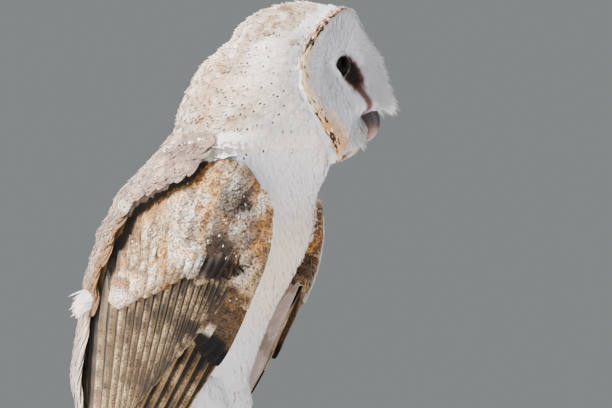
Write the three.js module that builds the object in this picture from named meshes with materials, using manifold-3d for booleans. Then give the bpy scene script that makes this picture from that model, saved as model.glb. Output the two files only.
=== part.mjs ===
// A life-size barn owl, perched on a short weathered branch that two rods hold above a round base.
// Millimetres. The owl faces +X, its left side is +Y and +Z is up. The origin is the centre of
// the base's underside.
//
// The owl is built from horizontal sections. BODY lists them from the crown down to the tail's
// end, and each is two half ellipses that share a centre line, so a layer such as a wing is the
// same section pushed outwards. Sections are cut into head, neck and trunk by thin slanted cuts.

import * as THREE from "three";
import { mergeVertices } from "three/addons/utils/BufferGeometryUtils.js";
import Module from "manifold-3d";

const wasm = await Module();
wasm.setup();

const GAP = 0.3; // between pieces that touch
const LAYER_GAP = 1; // between curved layers, whose facets sag towards each other
const TINY = 1e-6;
const HALF_TURN = 180;

// ---------------------------------------------------------------- driving dimensions
const CROWN_Z = 403;
const CROWN_ROUNDING = 26; // height over which the crown closes
const VENT_Z = 134;
const VENT_ROUNDING = 42;

// Sections: height, centre, reach forwards and backwards from the centre, half width.
const BODY = [
  { z: 403, centre: 54, front: 44, back: 38.5, half: 43 }, // crown
  { z: 380, centre: 50, front: 45, back: 38, half: 47.5 },
  { z: 370, centre: 49, front: 46, back: 48, half: 49 },
  { z: 361, centre: 48, front: 46, back: 57, half: 49.5 }, // eyes
  { z: 342, centre: 42, front: 50, back: 61.5, half: 49 },
  { z: 322, centre: 32, front: 53, back: 58, half: 48 }, // chin
  { z: 308, centre: 20, front: 54, back: 53, half: 48 },
  { z: 289, centre: 8, front: 55.5, back: 58, half: 50 }, // shoulders
  { z: 260, centre: -3, front: 61, back: 63, half: 52 }, // breast
  { z: 240, centre: -8, front: 56, back: 64, half: 51.5 },
  { z: 222, centre: -12, front: 49, back: 63, half: 50 },
  { z: 200, centre: -18, front: 45, back: 60, half: 47 }, // belly
  { z: 170, centre: -27, front: 43, back: 52, half: 42 },
  { z: 140, centre: -41, front: 40, back: 39, half: 35 }, // vent
  { z: 110, centre: -54, front: 27, back: 26, half: 29 },
  { z: 80, centre: -65, front: 14, back: 14, half: 22 },
  { z: 56, centre: -74, front: 6, back: 6, half: 14 }, // wing tips
];
const BODY_SIDES = 24;
const BODY_ROWS = 20;

// The head is turned a little to the owl's left, on an upright axis through the neck.
const HEAD_TURN = 7; // degrees
const HEAD_AXIS_X = 40;
const TURN_FROM_Z = 292;
const TURN_TO_Z = 345;

// Slanted cuts, each by two points on the outline: at the back and at the front.
const NAPE_CUT = { back: [8, 380], front: [79, 308] };
const BREAST_CUT = { back: [-41, 309], front: [62, 279] };

// Facial disc, seen from the front: outline radii from the middle of the face, by angle from up.
const DISC_Z = 353;
const DISC_OUTLINE = [
  { angle: 0, radius: 42 }, // notch over the brow
  { angle: 28, radius: 46.5 },
  { angle: 60, radius: 49 },
  { angle: 90, radius: 46.5 },
  { angle: 120, radius: 43.5 },
  { angle: 150, radius: 42.5 },
  { angle: 180, radius: 44 }, // chin
];
const DISC_HALF_WIDTH = 46;
const RIM_SIDE_X = 68.5;
const RIM_LIP = 3.5;
const DISC_BACK_X = 61;
const RIM_SPREAD = 1.02; // the lip stands a little proud of the outline
const DISC_ROOM = 1.4; // clearance round the lip
const DISC_SIDES = 24;
const DISC_RINGS = [0.03, 0.14, 0.26, 0.4, 0.58, 0.79, 1]; // as shares of the outline's radius
const DISC_BACK_RINGS = [1, 0.6, 0.05];
const DISC_CUT_AHEAD = 60; // how far the room cut for the disc reaches ahead of the face
// Face profile beside the midline, and the height of the feathered ridge between the eyes.
const FACE = [
  { z: 309, x: 81, ridge: 0 },
  { z: 315, x: 89, ridge: 0 },
  { z: 322, x: 92, ridge: 0 },
  { z: 334, x: 92, ridge: 2 },
  { z: 338, x: 92, ridge: 13.5 },
  { z: 343, x: 91.5, ridge: 19 },
  { z: 351, x: 91, ridge: 17.5 },
  { z: 361, x: 90, ridge: 16 },
  { z: 372, x: 88, ridge: 13.5 },
  { z: 384, x: 85.5, ridge: 7.5 },
  { z: 395, x: 83.5, ridge: 1.5 },
];
const SIDE_FALL_POWER = 2.4;
const RIDGE_WIDTH = { top: 6, bottom: 8.5 };
const DISH = { y: 22, z: 355, depth: 3.5, radius: 15 };

const EYE = { x: 77.5, y: 17, z: 363.5, radius: 9 };
const EYE_SIDES = 12;
const BILL_UPPER = {
  path: [
    [80, 343],
    [90, 340],
    [97, 332.5],
    [98, 326],
    [95.5, 319.5],
  ],
  radii: [5, 6, 5.4, 3.6, 0.7],
};
const BILL_LOWER = {
  path: [
    [80, 329],
    [86.5, 327],
    [91.5, 323],
  ],
  radii: [4.2, 3.6, 1.2],
};
const BILL_FACETS = { sides: 9, steps: 7 };

// Wings: where the front edge runs (angle round the section, from straight ahead), how far its
// outer face stands off the body there and at mid wing, and how thick the wing is.
const WING = [
  { z: 316, lead: 62, edge: 7, middle: 6, thickness: 5 },
  { z: 301, lead: 50, edge: 9.5, middle: 9, thickness: 7.5 },
  { z: 279, lead: 44, edge: 13, middle: 10, thickness: 9 },
  { z: 258, lead: 42, edge: 16.5, middle: 10, thickness: 8.5 },
  { z: 240, lead: 42, edge: 21, middle: 9.5, thickness: 8 },
  { z: 222, lead: 42, edge: 23, middle: 9.5, thickness: 7.5 },
  { z: 202, lead: 43.5, edge: 23, middle: 9.5, thickness: 6.5 },
  { z: 187, lead: 48, edge: 24, middle: 9.5, thickness: 5.5 },
  { z: 170, lead: 55, edge: 25, middle: 9.5, thickness: 5 },
  { z: 156, lead: 58, edge: 26, middle: 9, thickness: 4.5 },
  { z: 140, lead: 60.5, edge: 23, middle: 8.5, thickness: 4 },
  { z: 110, lead: 62, edge: 16.5, middle: 7, thickness: 3.6 },
  { z: 80, lead: 72, edge: 8, middle: 5.5, thickness: 3.4 },
  { z: 56, lead: 90, edge: 4.5, middle: 4.5, thickness: 3 },
];
const WING_TOP_Z = 316;
const WING_TIP_Z = 56;
const WING_TRAIL_OFFSET = 6;
// The mantle drapes over the back between the wings, and the rump coverts hang below it.
const MANTLE_EDGE = [
  { z: 316, angle: 92 },
  { z: 300, angle: 96 },
  { z: 289, angle: 108 },
  { z: 281, angle: 120 },
  { z: 263, angle: 125 },
  { z: 242, angle: 129 },
  { z: 222, angle: 135 },
  { z: 208, angle: 147 },
];
const MANTLE_TOP_Z = 318;
const MANTLE_END_Z = 209;
const MANTLE_THICKNESS = { top: 2, below: 9.5 };
const WING_TRAIL_ANGLE = 143; // below the mantle
const WING_TIP_TRAIL_ANGLE = 160;
const RUMP_EDGE_ANGLE = 146;
const RUMP_END_Z = 146;
const RUMP_OFFSET = [
  { z: 209, offset: 9.5 },
  { z: 193, offset: 11 },
  { z: 176, offset: 12.5 },
  { z: 162, offset: 9.5 },
  { z: 146, offset: 6.5 },
];
const PART_ANGLE = 1.2; // degrees between the wing's edge and the mantle or rump
const MANTLE_ROOM = 6; // how far the room cut for the mantle reaches past its faces

// How layers thin towards their edges: over what share of the width, and to what share of the
// thickness.
const THIN = {
  wingEdge: { share: 0.14, least: 0.45 },
  wingEnd: { share: 0.05, least: 0.45 },
  mantleEdge: { share: 0.1, least: 0.55 },
  mantleEnd: { share: 0.06, least: 0.55 },
  rumpEdge: { share: 0.15, least: 0.5 },
  rumpEnd: { share: 0.06, least: 0.6 },
  tailEdge: { share: 0.1, least: 0.4 },
};
// Facets of each layer, across and down.
const FACETS = { wing: [7, 14], mantle: [13, 8], rump: [7, 6], tail: [12, 6] };

// Cuts that part each wing: the coverts above, and below them the two sets of flight feathers.
const COVERT_CUT = { back: [-80, 236], front: [60, 196] };
const PRIMARY_CUT = { angle: 96, from: 50, to: 240, reach: 120, rows: 7 };

const TAIL = { top: 178, end: 68, from: 112, thickness: 3, taper: 0.6 };
const LEAST_THICKNESS = 1;
const TAIL_CLEARANCE_Z = 182; // below this the wings and rump leave room for the tail

// Legs, per side.
const THIGH = {
  path: [
    [-8, 21, 176],
    [0, 20, 156],
    [5, 18, 132],
  ],
  radii: [20, 15, 8.4],
};
const ANKLE_CUT = { back: [-60, 136.5], front: [60, 136.5] };
const TARSUS = {
  path: [
    [5, 18, 141],
    [3.5, 17, 127],
    [1, 16, 118],
  ],
  radii: [8, 6.8, 6.6],
};
const LEG_FACETS = { thigh: [10, 5], tarsus: [9, 4], toe: [6, 4], claw: [6, 4], palm: [9, 5] };
const PALM = { x: 0.5, y: 16, z: 114.8, radii: [9.5, 8, 4.6] };
const TOE_RADIUS = { base: 4.1, end: 3.1 };
// Toes wrap the perch: towards the front (1) or the back (-1), how far round, and their splay.
const TOES = [
  { digit: 1, ahead: -1, wrap: 74, splay: -3 },
  { digit: 2, ahead: 1, wrap: 82, splay: -6 },
  { digit: 3, ahead: 1, wrap: 96, splay: 5 },
  { digit: 4, ahead: -1, wrap: 84, splay: 9 },
];
const TOE_START = 12; // degrees round the perch from its top
const SPLAY_START = 0.35; // share of a toe's splay that it has at its root
const CLAW = { length: 15, radius: 2.3, tip: 0.35, lift: 1.4, hook: 3.8 };

const PERCH = {
  z: 92,
  radius: 18,
  path: [
    [5, -96, 88],
    [1, -55, 91],
    [0, 0, 92],
    [0, 50, 92.5],
    [6, 96, 98],
  ],
  swell: 1.4,
  swells: 4,
  evenTo: 34, // no swellings within this of the middle, where the feet grip
  unevenFrom: 60,
  chamfer: 0.9, // the sawn ends' radius, as a share
  facets: [12, 14],
};
const STUB = {
  path: [
    [4, 66, 98],
    [17, 72, 113],
    [28, 75, 131],
  ],
  radii: [11, 8, 6.4],
  facets: [9, 5],
};
// The base: a turned disc with a plain edge, a small step above it and a rounded top edge.
const BASE = { radius: 96, height: 18, edge: 11, step: 2, stepHeight: 2, round: 2.5, foot: 1, sides: 28 };
const ROD = { y: 46, radius: 3, flange: 9, flangeHeight: 2.6, bevel: 0.8, socket: 8, into: 12, sides: 10 };

const COLOURS = {
  white: 0xe9e4dd,
  speckled: 0xcbbfb4,
  mantle: 0xb3a89f,
  wing: 0xa88f72,
  tail: 0xb99f7c,
  eye: 0x0b0808,
  bill: 0xd9b9a6,
  claw: 0x3a322e,
  foot: 0xb29a88,
  bark: 0x8f8375,
  base: 0x2e2119,
  rod: 0x9c8350,
};

// ---------------------------------------------------------------- helpers
const rad = (degrees) => THREE.MathUtils.degToRad(degrees);
const lerp = THREE.MathUtils.lerp;
const smooth = THREE.MathUtils.smoothstep;

// A smooth curve through rows of a table, read by key, with no overshoot between two rows.
function through(rows, at, key) {
  const sorted = [...rows].sort((a, b) => a[at] - b[at]);
  const t = sorted.map((row) => row[at]);
  const v = sorted.map((row) => row[key]);
  const slope = t.slice(1).map((end, i) => (v[i + 1] - v[i]) / (end - t[i]));
  const tangent = v.map((_, i) => {
    const before = slope[i - 1] ?? slope[i];
    const after = slope[i] ?? slope[i - 1];
    return before * after <= 0 ? 0 : (2 * before * after) / (before + after);
  });
  return (x) => {
    const clamped = THREE.MathUtils.clamp(x, t[0], t[t.length - 1]);
    const next = t.findIndex((end) => end > clamped);
    const i = (next < 0 ? t.length - 1 : next) - 1;
    const span = t[i + 1] - t[i];
    const s = (clamped - t[i]) / span;
    return (
      (2 * s ** 3 - 3 * s ** 2 + 1) * v[i] +
      (s ** 3 - 2 * s ** 2 + s) * span * tangent[i] +
      (-2 * s ** 3 + 3 * s ** 2) * v[i + 1] +
      (s ** 3 - s ** 2) * span * tangent[i + 1]
    );
  };
}

function meshOf(points, faces) {
  const geometry = new THREE.BufferGeometry();
  const numbers = points.flatMap((p) => p.toArray());
  geometry.setAttribute("position", new THREE.Float32BufferAttribute(numbers, 3));
  geometry.setIndex(faces);
  return geometry;
}

// A closed body through rings of points, each end closed by a fan to its middle.
function loft(rings) {
  const sides = rings[0].length;
  const points = rings.flat();
  const faces = [];
  for (let row = 0; row + 1 < rings.length; row++) {
    for (let i = 0; i < sides; i++) {
      const next = (i + 1) % sides;
      const [a, b] = [row * sides + i, row * sides + next];
      faces.push(a, b, b + sides, a, b + sides, a + sides);
    }
  }
  for (const end of [0, rings.length - 1]) {
    const middle = points.length;
    const sum = rings[end].reduce((total, p) => total.add(p), new THREE.Vector3());
    points.push(sum.divideScalar(sides));
    for (let i = 0; i < sides; i++) {
      const [a, b] = [end * sides + i, end * sides + ((i + 1) % sides)];
      faces.push(...(end === 0 ? [middle, b, a] : [middle, a, b]));
    }
  }
  return meshOf(points, faces);
}

// A closed sheet between two surfaces, each a function of u and v from 0 to 1.
function plate(outer, inner, columns, rows) {
  const points = [];
  for (const surface of [outer, inner]) {
    for (let row = 0; row <= rows; row++) {
      for (let i = 0; i <= columns; i++) points.push(surface(i / columns, row / rows));
    }
  }
  const wide = columns + 1;
  const under = wide * (rows + 1);
  const faces = [];
  const quad = (a, b, c, d) => faces.push(a, b, c, a, c, d);
  for (let row = 0; row < rows; row++) {
    for (let i = 0; i < columns; i++) {
      const a = row * wide + i;
      quad(a, a + 1, a + 1 + wide, a + wide);
      quad(under + a, under + a + wide, under + a + 1 + wide, under + a + 1);
    }
    const [first, last] = [row * wide, row * wide + columns];
    quad(first, first + wide, under + first + wide, under + first);
    quad(last, under + last, under + last + wide, last + wide);
  }
  for (let i = 0; i < columns; i++) {
    const bottom = rows * wide + i;
    quad(i, under + i, under + i + 1, i + 1);
    quad(bottom, bottom + 1, under + bottom + 1, under + bottom);
  }
  return meshOf(points, faces);
}

// A tube along a smooth path, with a radius read along it and flat ends.
function tube(path, radii, sides, steps) {
  const curve = new THREE.CatmullRomCurve3(path.map((p) => new THREE.Vector3(...p)));
  const frames = curve.computeFrenetFrames(steps, false);
  const stations = radii.map((radius, i) => ({ t: i / (radii.length - 1), radius }));
  const radiusAt = through(stations, "t", "radius");
  const rings = [];
  for (let step = 0; step <= steps; step++) {
    const t = step / steps;
    const middle = curve.getPoint(t);
    rings.push(
      Array.from({ length: sides }, (_, i) => {
        const turn = (2 * Math.PI * i) / sides;
        const outwards = frames.normals[step]
          .clone()
          .multiplyScalar(Math.cos(turn))
          .addScaledVector(frames.binormals[step], Math.sin(turn));
        return middle.clone().addScaledVector(outwards, radiusAt(t));
      }),
    );
  }
  return loft(rings);
}

// Geometry to a solid and back. A solid whose faces point inwards is turned right side out.
function solid(geometry) {
  const bare = geometry.clone();
  bare.deleteAttribute("normal");
  bare.deleteAttribute("uv");
  const merged = mergeVertices(bare, TINY);
  const make = (triVerts) =>
    new wasm.Manifold(
      new wasm.Mesh({ numProp: 3, vertProperties: merged.attributes.position.array, triVerts }),
    );
  const faces = new Uint32Array(merged.index.array);
  const made = make(faces);
  return made.volume() > 0 ? made : make(faces.reverse());
}

function geometryOf(made) {
  const { vertProperties, triVerts } = made.getMesh();
  const geometry = new THREE.BufferGeometry();
  geometry.setAttribute("position", new THREE.BufferAttribute(vertProperties, 3));
  geometry.setIndex(new THREE.BufferAttribute(triVerts, 1));
  return geometry;
}

// The half space in front of a slanted cut, or behind it, as a large box set back by half a gap.
function beyond(cut, side) {
  const [x0, z0] = cut.back;
  const [x1, z1] = cut.front;
  const along = new THREE.Vector3(x1 - x0, 0, z1 - z0).normalize();
  const up = new THREE.Vector3(-along.z, 0, along.x).multiplyScalar(side);
  const size = 900;
  const box = new THREE.BoxGeometry(size, size, size);
  const across = new THREE.Vector3().crossVectors(up, along);
  box.applyMatrix4(new THREE.Matrix4().makeBasis(along, across, up));
  const middle = new THREE.Vector3((x0 + x1) / 2, 0, (z0 + z1) / 2);
  middle.addScaledVector(up, size / 2 + GAP / 2);
  return solid(box.translate(...middle.toArray()));
}

// ---------------------------------------------------------------- the body's sections
const centreAt = through(BODY, "z", "centre");
const frontAt = through(BODY, "z", "front");
const backAt = through(BODY, "z", "back");
const halfAt = through(BODY, "z", "half");

function turned(point) {
  const angle = rad(HEAD_TURN) * smooth(point.z, TURN_FROM_Z, TURN_TO_Z);
  const x = point.x - HEAD_AXIS_X;
  return new THREE.Vector3(
    HEAD_AXIS_X + x * Math.cos(angle) - point.y * Math.sin(angle),
    x * Math.sin(angle) + point.y * Math.cos(angle),
    point.z,
  );
}

// A point on the section at height z, at an angle from straight ahead, pushed out by an offset.
function sectionPoint(z, angle, offset, closing = 1) {
  const reach = (Math.cos(angle) > 0 ? frontAt(z) : backAt(z)) * closing + offset;
  const half = halfAt(z) * closing + offset;
  return turned(
    new THREE.Vector3(centreAt(z) + reach * Math.cos(angle), half * Math.sin(angle), z),
  );
}

const closingAt = (distance, height) =>
  distance >= height ? 1 : Math.sqrt(Math.max(0, 1 - (1 - distance / height) ** 2));

function bodyForm(offset = 0) {
  const [low, high] = [VENT_Z - offset, CROWN_Z + offset];
  const rings = [];
  for (let row = 0; row <= BODY_ROWS; row++) {
    const z = low + ((high - low) * (1 - Math.cos((Math.PI * (row + 0.25)) / (BODY_ROWS + 0.5)))) / 2;
    const closing = Math.min(closingAt(z - low, VENT_ROUNDING), closingAt(high - z, CROWN_ROUNDING));
    rings.push(
      Array.from({ length: BODY_SIDES }, (_, i) =>
        sectionPoint(z, (2 * Math.PI * i) / BODY_SIDES, offset, closing),
      ),
    );
  }
  return solid(loft(rings));
}

// ---------------------------------------------------------------- the face
const outlineAt = through(DISC_OUTLINE, "angle", "radius");
const faceAt = through(FACE, "z", "x");
const ridgeAt = through(FACE, "z", "ridge");
const rimAt = (y, z) => lerp(faceAt(z), RIM_SIDE_X, (Math.abs(y) / DISC_HALF_WIDTH) ** SIDE_FALL_POWER);

function faceX(y, z) {
  const low = smooth(z, FACE[0].z, FACE[FACE.length - 1].z);
  const ridgeWidth = lerp(RIDGE_WIDTH.bottom, RIDGE_WIDTH.top, low);
  const ridge = ridgeAt(z) * Math.exp(-((y / ridgeWidth) ** 2));
  const fromDish = Math.hypot(Math.abs(y) - DISH.y, z - DISH.z) / DISH.radius;
  return rimAt(y, z) + ridge - DISH.depth * Math.exp(-(fromDish ** 2));
}

// The disc as a closed body: the face out to its rim, round the rim's lip, and back to the middle.
function discForm({ grow = 0, backShift = 0, ahead = 0 } = {}) {
  const ring = (share, depth) =>
    Array.from({ length: DISC_SIDES }, (_, i) => {
      const angle = (2 * HALF_TURN * i) / DISC_SIDES;
      const folded = angle > HALF_TURN ? 2 * HALF_TURN - angle : angle;
      const radius = (outlineAt(folded) + grow) * share;
      const y = radius * Math.sin(rad(angle));
      const z = DISC_Z + radius * Math.cos(rad(angle));
      const rim = outlineAt(folded);
      const rimX = rimAt(rim * Math.sin(rad(angle)), DISC_Z + rim * Math.cos(rad(angle)));
      return turned(new THREE.Vector3(depth(y, z, share, rimX), y, z));
    });
  return solid(
    loft([
      ...DISC_RINGS.map((share) => ring(share, (y, z) => faceX(y, z) + ahead)),
      ring(RIM_SPREAD, (y, z, share, rimX) => rimX - RIM_LIP / 2 + ahead),
      ...DISC_BACK_RINGS.map((share) =>
        ring(share, (y, z, s, rimX) => lerp(DISC_BACK_X, rimX - RIM_LIP, s ** 2) - backShift),
      ),
    ]),
  );
}

function eyeForm(side, extra = 0) {
  const ball = new THREE.SphereGeometry(EYE.radius + extra, EYE_SIDES, EYE_SIDES * (2 / 3));
  ball.translate(EYE.x, side * EYE.y, EYE.z);
  return solid(turnAll(ball));
}

function turnAll(geometry) {
  const position = geometry.attributes.position;
  for (let i = 0; i < position.count; i++) {
    const p = turned(new THREE.Vector3().fromBufferAttribute(position, i));
    position.setXYZ(i, p.x, p.y, p.z);
  }
  return geometry;
}

function billForm({ path, radii }, extra = 0) {
  const points = path.map(([x, z], i) => [i === 0 ? x - 2 * extra : x, 0, z]);
  const grown = radii.map((radius) => radius + extra);
  return solid(turnAll(tube(points, grown, BILL_FACETS.sides, BILL_FACETS.steps)));
}

// ---------------------------------------------------------------- wings, mantle, rump and tail
const leadAt = through(WING, "z", "lead");
const edgeAt = through(WING, "z", "edge");
const middleAt = through(WING, "z", "middle");
const thicknessAt = through(WING, "z", "thickness");
const mantleEdgeAt = through(MANTLE_EDGE, "z", "angle");
const rumpOffsetAt = through(RUMP_OFFSET, "z", "offset");

// Thins a plate towards its edges: 1 over most of it, down to a small share at the edge.
function rounded(t, { share, least }) {
  const inwards = Math.min(t, 1 - t) / share;
  return inwards >= 1 ? 1 : lerp(least, 1, Math.sqrt(inwards));
}

// How far off the section a layer's inner face starts: further out where the tail lies under it.
const tailRoom = (z) =>
  lerp(
    TAIL.thickness + 3 * LAYER_GAP,
    LAYER_GAP,
    smooth(z, TAIL_CLEARANCE_Z, TAIL_CLEARANCE_Z + 8),
  );

// Angle of the wing's back edge: under the mantle's edge above, and beside the rump below.
function trailAt(z) {
  if (z > MANTLE_END_Z) return Math.min(mantleEdgeAt(z) + PART_ANGLE, WING_TRAIL_ANGLE);
  return lerp(WING_TIP_TRAIL_ANGLE, WING_TRAIL_ANGLE, smooth(z, WING_TIP_Z, RUMP_END_Z));
}

function wingForm(side) {
  const at = (u, v) => {
    const z = lerp(WING_TOP_Z, WING_TIP_Z, v ** 1.05);
    const angle = lerp(leadAt(z), trailAt(z), u);
    const flare = (edgeAt(z) - middleAt(z)) * (1 - u) ** 2;
    const fall = lerp(0, Math.max(0, middleAt(z) - WING_TRAIL_OFFSET), u ** 4);
    const outside = middleAt(z) + flare - fall;
    const inside = Math.max(tailRoom(z), outside - thicknessAt(z));
    return { z, angle: side * rad(angle), inside, outside };
  };
  const outer = (u, v) => {
    const { z, angle, inside, outside } = at(u, v);
    const thin = rounded(u, THIN.wingEdge) * rounded(v, THIN.wingEnd);
    return sectionPoint(z, angle, inside + (outside - inside) * thin);
  };
  const inner = (u, v) => {
    const { z, angle, inside } = at(u, v);
    return sectionPoint(z, angle, inside);
  };
  return solid(plate(outer, inner, ...FACETS.wing));
}

// The mantle, or with spread and thicker the room that it needs among its neighbours.
function mantleForm({ spread = 0, thicker = 0 } = {}) {
  const place = (u, v, offset) => {
    const z = lerp(MANTLE_TOP_Z, MANTLE_END_Z, v);
    const edge = rad(mantleEdgeAt(z) - spread);
    const beyondEnd = (v === 0 ? thicker : 0) - (v === 1 ? spread * GAP : 0);
    return sectionPoint(z + beyondEnd, lerp(edge, 2 * Math.PI - edge, u), offset);
  };
  const thick = (u, v) =>
    lerp(MANTLE_THICKNESS.top, MANTLE_THICKNESS.below, smooth(v, 0.03, 0.3)) *
    rounded(u, THIN.mantleEdge) *
    rounded(v, THIN.mantleEnd);
  return solid(
    plate(
      (u, v) => place(u, v, LAYER_GAP + thick(u, v) + thicker),
      (u, v) => place(u, v, LAYER_GAP - thicker),
      ...FACETS.mantle,
    ),
  );
}

function rumpForm() {
  const place = (u, v, offset) => {
    const z = lerp(MANTLE_END_Z - GAP * 2, RUMP_END_Z, v);
    const edge = rad(RUMP_EDGE_ANGLE);
    return sectionPoint(z, lerp(edge, 2 * Math.PI - edge, u), offset);
  };
  const outer = (u, v) => {
    const z = lerp(MANTLE_END_Z, RUMP_END_Z, v);
    const inside = tailRoom(z);
    const thickness = (rumpOffsetAt(z) - inside) * rounded(u, THIN.rumpEdge) * rounded(v, THIN.rumpEnd);
    return place(u, v, inside + Math.max(LEAST_THICKNESS, thickness));
  };
  const inner = (u, v) => place(u, v, tailRoom(lerp(MANTLE_END_Z - GAP * 2, RUMP_END_Z, v)));
  return solid(plate(outer, inner, ...FACETS.rump));
}

function tailForm() {
  const place = (u, v, offset) => {
    const z = lerp(TAIL.top, TAIL.end, v);
    return sectionPoint(z, rad(lerp(TAIL.from, 360 - TAIL.from, u)), offset);
  };
  const thick = (u, v) =>
    Math.max(LEAST_THICKNESS, TAIL.thickness * rounded(u, THIN.tailEdge) * lerp(1, TAIL.taper, v));
  return solid(
    plate(
      (u, v) => place(u, v, LAYER_GAP + thick(u, v)),
      (u, v) => place(u, v, LAYER_GAP),
      ...FACETS.tail,
    ),
  );
}

// ---------------------------------------------------------------- legs, feet and perch
const mirrored = (path, side) => path.map(([x, y, z]) => [x, side * y, z]);

function perchForm(extra = 0) {
  const [sides, steps] = PERCH.facets;
  const curve = new THREE.CatmullRomCurve3(PERCH.path.map((p) => new THREE.Vector3(...p)));
  const rings = Array.from({ length: steps + 1 }, (_, step) => {
    const t = step / steps;
    const middle = curve.getPoint(t);
    const end = step === 0 || step === steps ? PERCH.chamfer : 1;
    return Array.from({ length: sides }, (_, i) => {
      const turn = (2 * Math.PI * i) / sides;
      const far = smooth(Math.abs(middle.y), PERCH.evenTo, PERCH.unevenFrom);
      const swell = PERCH.swell * far * Math.sin(PERCH.swells * Math.PI * t + 2 * Math.sin(turn));
      const radius = (PERCH.radius + swell + extra) * end;
      return new THREE.Vector3(
        middle.x + radius * Math.cos(turn),
        middle.y,
        middle.z + radius * Math.sin(turn),
      );
    });
  });
  return solid(loft(rings));
}

function toePath({ ahead, wrap, splay }, side) {
  const around = PERCH.radius + TOE_RADIUS.base + GAP;
  const steps = 5;
  return Array.from({ length: steps + 1 }, (_, i) => {
    const share = i / steps;
    const turn = rad(lerp(TOE_START, wrap, share));
    return [
      ahead * around * Math.sin(turn),
      side * (PALM.y + splay * (SPLAY_START + share)),
      PERCH.z + around * Math.cos(turn),
    ];
  });
}

function footForm(side, gripped) {
  const palm = new THREE.SphereGeometry(1, ...LEG_FACETS.palm);
  palm.scale(...PALM.radii).translate(PALM.x, side * PALM.y, PALM.z);
  let foot = solid(palm);
  for (const toe of TOES) {
    const radii = [TOE_RADIUS.base, TOE_RADIUS.end];
    foot = foot.add(solid(tube(toePath(toe, side), radii, ...LEG_FACETS.toe)));
  }
  return foot.subtract(gripped);
}

// A claw leaves its toe's end and curves on round the perch, lifting off the bark.
function clawForm(toe, side) {
  const path = toePath(toe, side);
  const [end, before] = [path.at(-1), path.at(-2)].map((p) => new THREE.Vector3(...p));
  const along = end.clone().sub(before).normalize();
  const outwards = new THREE.Vector3(end.x, 0, end.z - PERCH.z).normalize();
  const start = end.clone().addScaledVector(along, 1.3 * GAP);
  const shares = [0, 0.35, 0.7, 1];
  const points = shares.map((share) =>
    start
      .clone()
      .addScaledVector(along, CLAW.length * share)
      .addScaledVector(outwards, CLAW.lift * Math.sin(Math.PI * share) - CLAW.hook * share ** 2)
      .toArray(),
  );
  const radii = shares.map((share) => lerp(CLAW.radius, CLAW.tip, share ** 1.3));
  return solid(tube(points, radii, ...LEG_FACETS.claw));
}

// A profile of [radius, height] pairs, turned round the upright axis.
function turnedOnAxis(profile, sides) {
  const outline = profile.map(([radius, height]) => new THREE.Vector2(radius, height));
  return new THREE.LatheGeometry(outline, sides).rotateX(Math.PI / 2);
}

function rodForm(extra = 0) {
  const foot = BASE.height - ROD.socket + GAP - extra;
  const top = PERCH.z - PERCH.radius + ROD.into + extra;
  const radius = ROD.radius + extra;
  const flangeTop = BASE.height + GAP + ROD.flangeHeight;
  const profile = [
    [0, foot],
    [radius, foot],
    [radius, BASE.height + GAP],
    [ROD.flange, BASE.height + GAP],
    [ROD.flange, flangeTop - ROD.bevel],
    [ROD.flange - ROD.bevel, flangeTop],
    [radius, flangeTop],
    [radius, top],
    [0, top],
  ];
  return turnedOnAxis(profile, ROD.sides);
}

function baseForm() {
  const { radius, height, edge, step, stepHeight, round, foot } = BASE;
  const profile = [
    [0, 0],
    [radius - foot, 0],
    [radius, foot],
    [radius, edge],
    [radius - step, edge + stepHeight],
    [radius - step - 1, height - round],
    [radius - step - 1 - round, height],
    [0, height],
  ];
  return turnedOnAxis(profile, BASE.sides);
}

// ---------------------------------------------------------------- the model
const owl = new THREE.Group();

function part(name, made, colour, roughness = 0.9, metalness = 0) {
  const material = new THREE.MeshStandardMaterial({ color: colour, roughness, metalness });
  const mesh = new THREE.Mesh(made.isBufferGeometry ? made : geometryOf(made), material);
  mesh.name = name;
  owl.add(mesh);
  return mesh;
}

const SIDES = [
  { word: "right", side: -1 },
  { word: "left", side: 1 },
];

const whole = bodyForm();
const around = bodyForm(GAP);
const mantleRoom = mantleForm({ spread: PART_ANGLE, thicker: MANTLE_ROOM });
const neckBelow = beyond(NAPE_CUT, -1);
const trunkBelow = beyond(BREAST_CUT, -1);
const ankleAbove = beyond(ANKLE_CUT, 1);
const ankleBelow = beyond(ANKLE_CUT, -1);

let head = whole.intersect(beyond(NAPE_CUT, 1));
let neck = whole.intersect(neckBelow).intersect(beyond(BREAST_CUT, 1));
const behindDisc = discForm({ grow: DISC_ROOM, backShift: GAP, ahead: DISC_CUT_AHEAD });
head = head.subtract(behindDisc);
neck = neck.subtract(behindDisc);

let disc = discForm();
const bills = { upper: billForm(BILL_UPPER), lower: billForm(BILL_LOWER) };
bills.lower = bills.lower.subtract(billForm(BILL_UPPER, GAP));
disc = disc.subtract(billForm(BILL_UPPER, GAP)).subtract(billForm(BILL_LOWER, GAP));
for (const { side } of SIDES) disc = disc.subtract(eyeForm(side, GAP));

part("head", head, COLOURS.speckled);
part("facial_disc", disc, COLOURS.white);
part("bill_upper", bills.upper, COLOURS.bill, 0.45);
part("bill_lower", bills.lower, COLOURS.bill, 0.45);
part("neck", neck, COLOURS.speckled);
part("trunk", whole.intersect(trunkBelow), COLOURS.white);
part("mantle", mantleForm().subtract(around), COLOURS.mantle);
part("rump", rumpForm().subtract(around), COLOURS.mantle);
part("tail", tailForm().subtract(around), COLOURS.tail);

let perch = perchForm().add(solid(tube(STUB.path, STUB.radii, ...STUB.facets)));
const gripped = perchForm(GAP);
let base = solid(baseForm());

// The space ahead of the line that parts the primaries from the secondaries.
function aheadOfPrimaryCut(side) {
  const { angle, from, to, reach, rows } = PRIMARY_CUT;
  const place = (u, v, across) => {
    const z = lerp(from, to, v);
    const x = sectionPoint(z, side * rad(angle), 0).x + (across ? reach : 0);
    return new THREE.Vector3(x, side * reach * u, z);
  };
  return solid(plate((u, v) => place(u, v, true), (u, v) => place(u, v, false), 1, rows));
}

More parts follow.
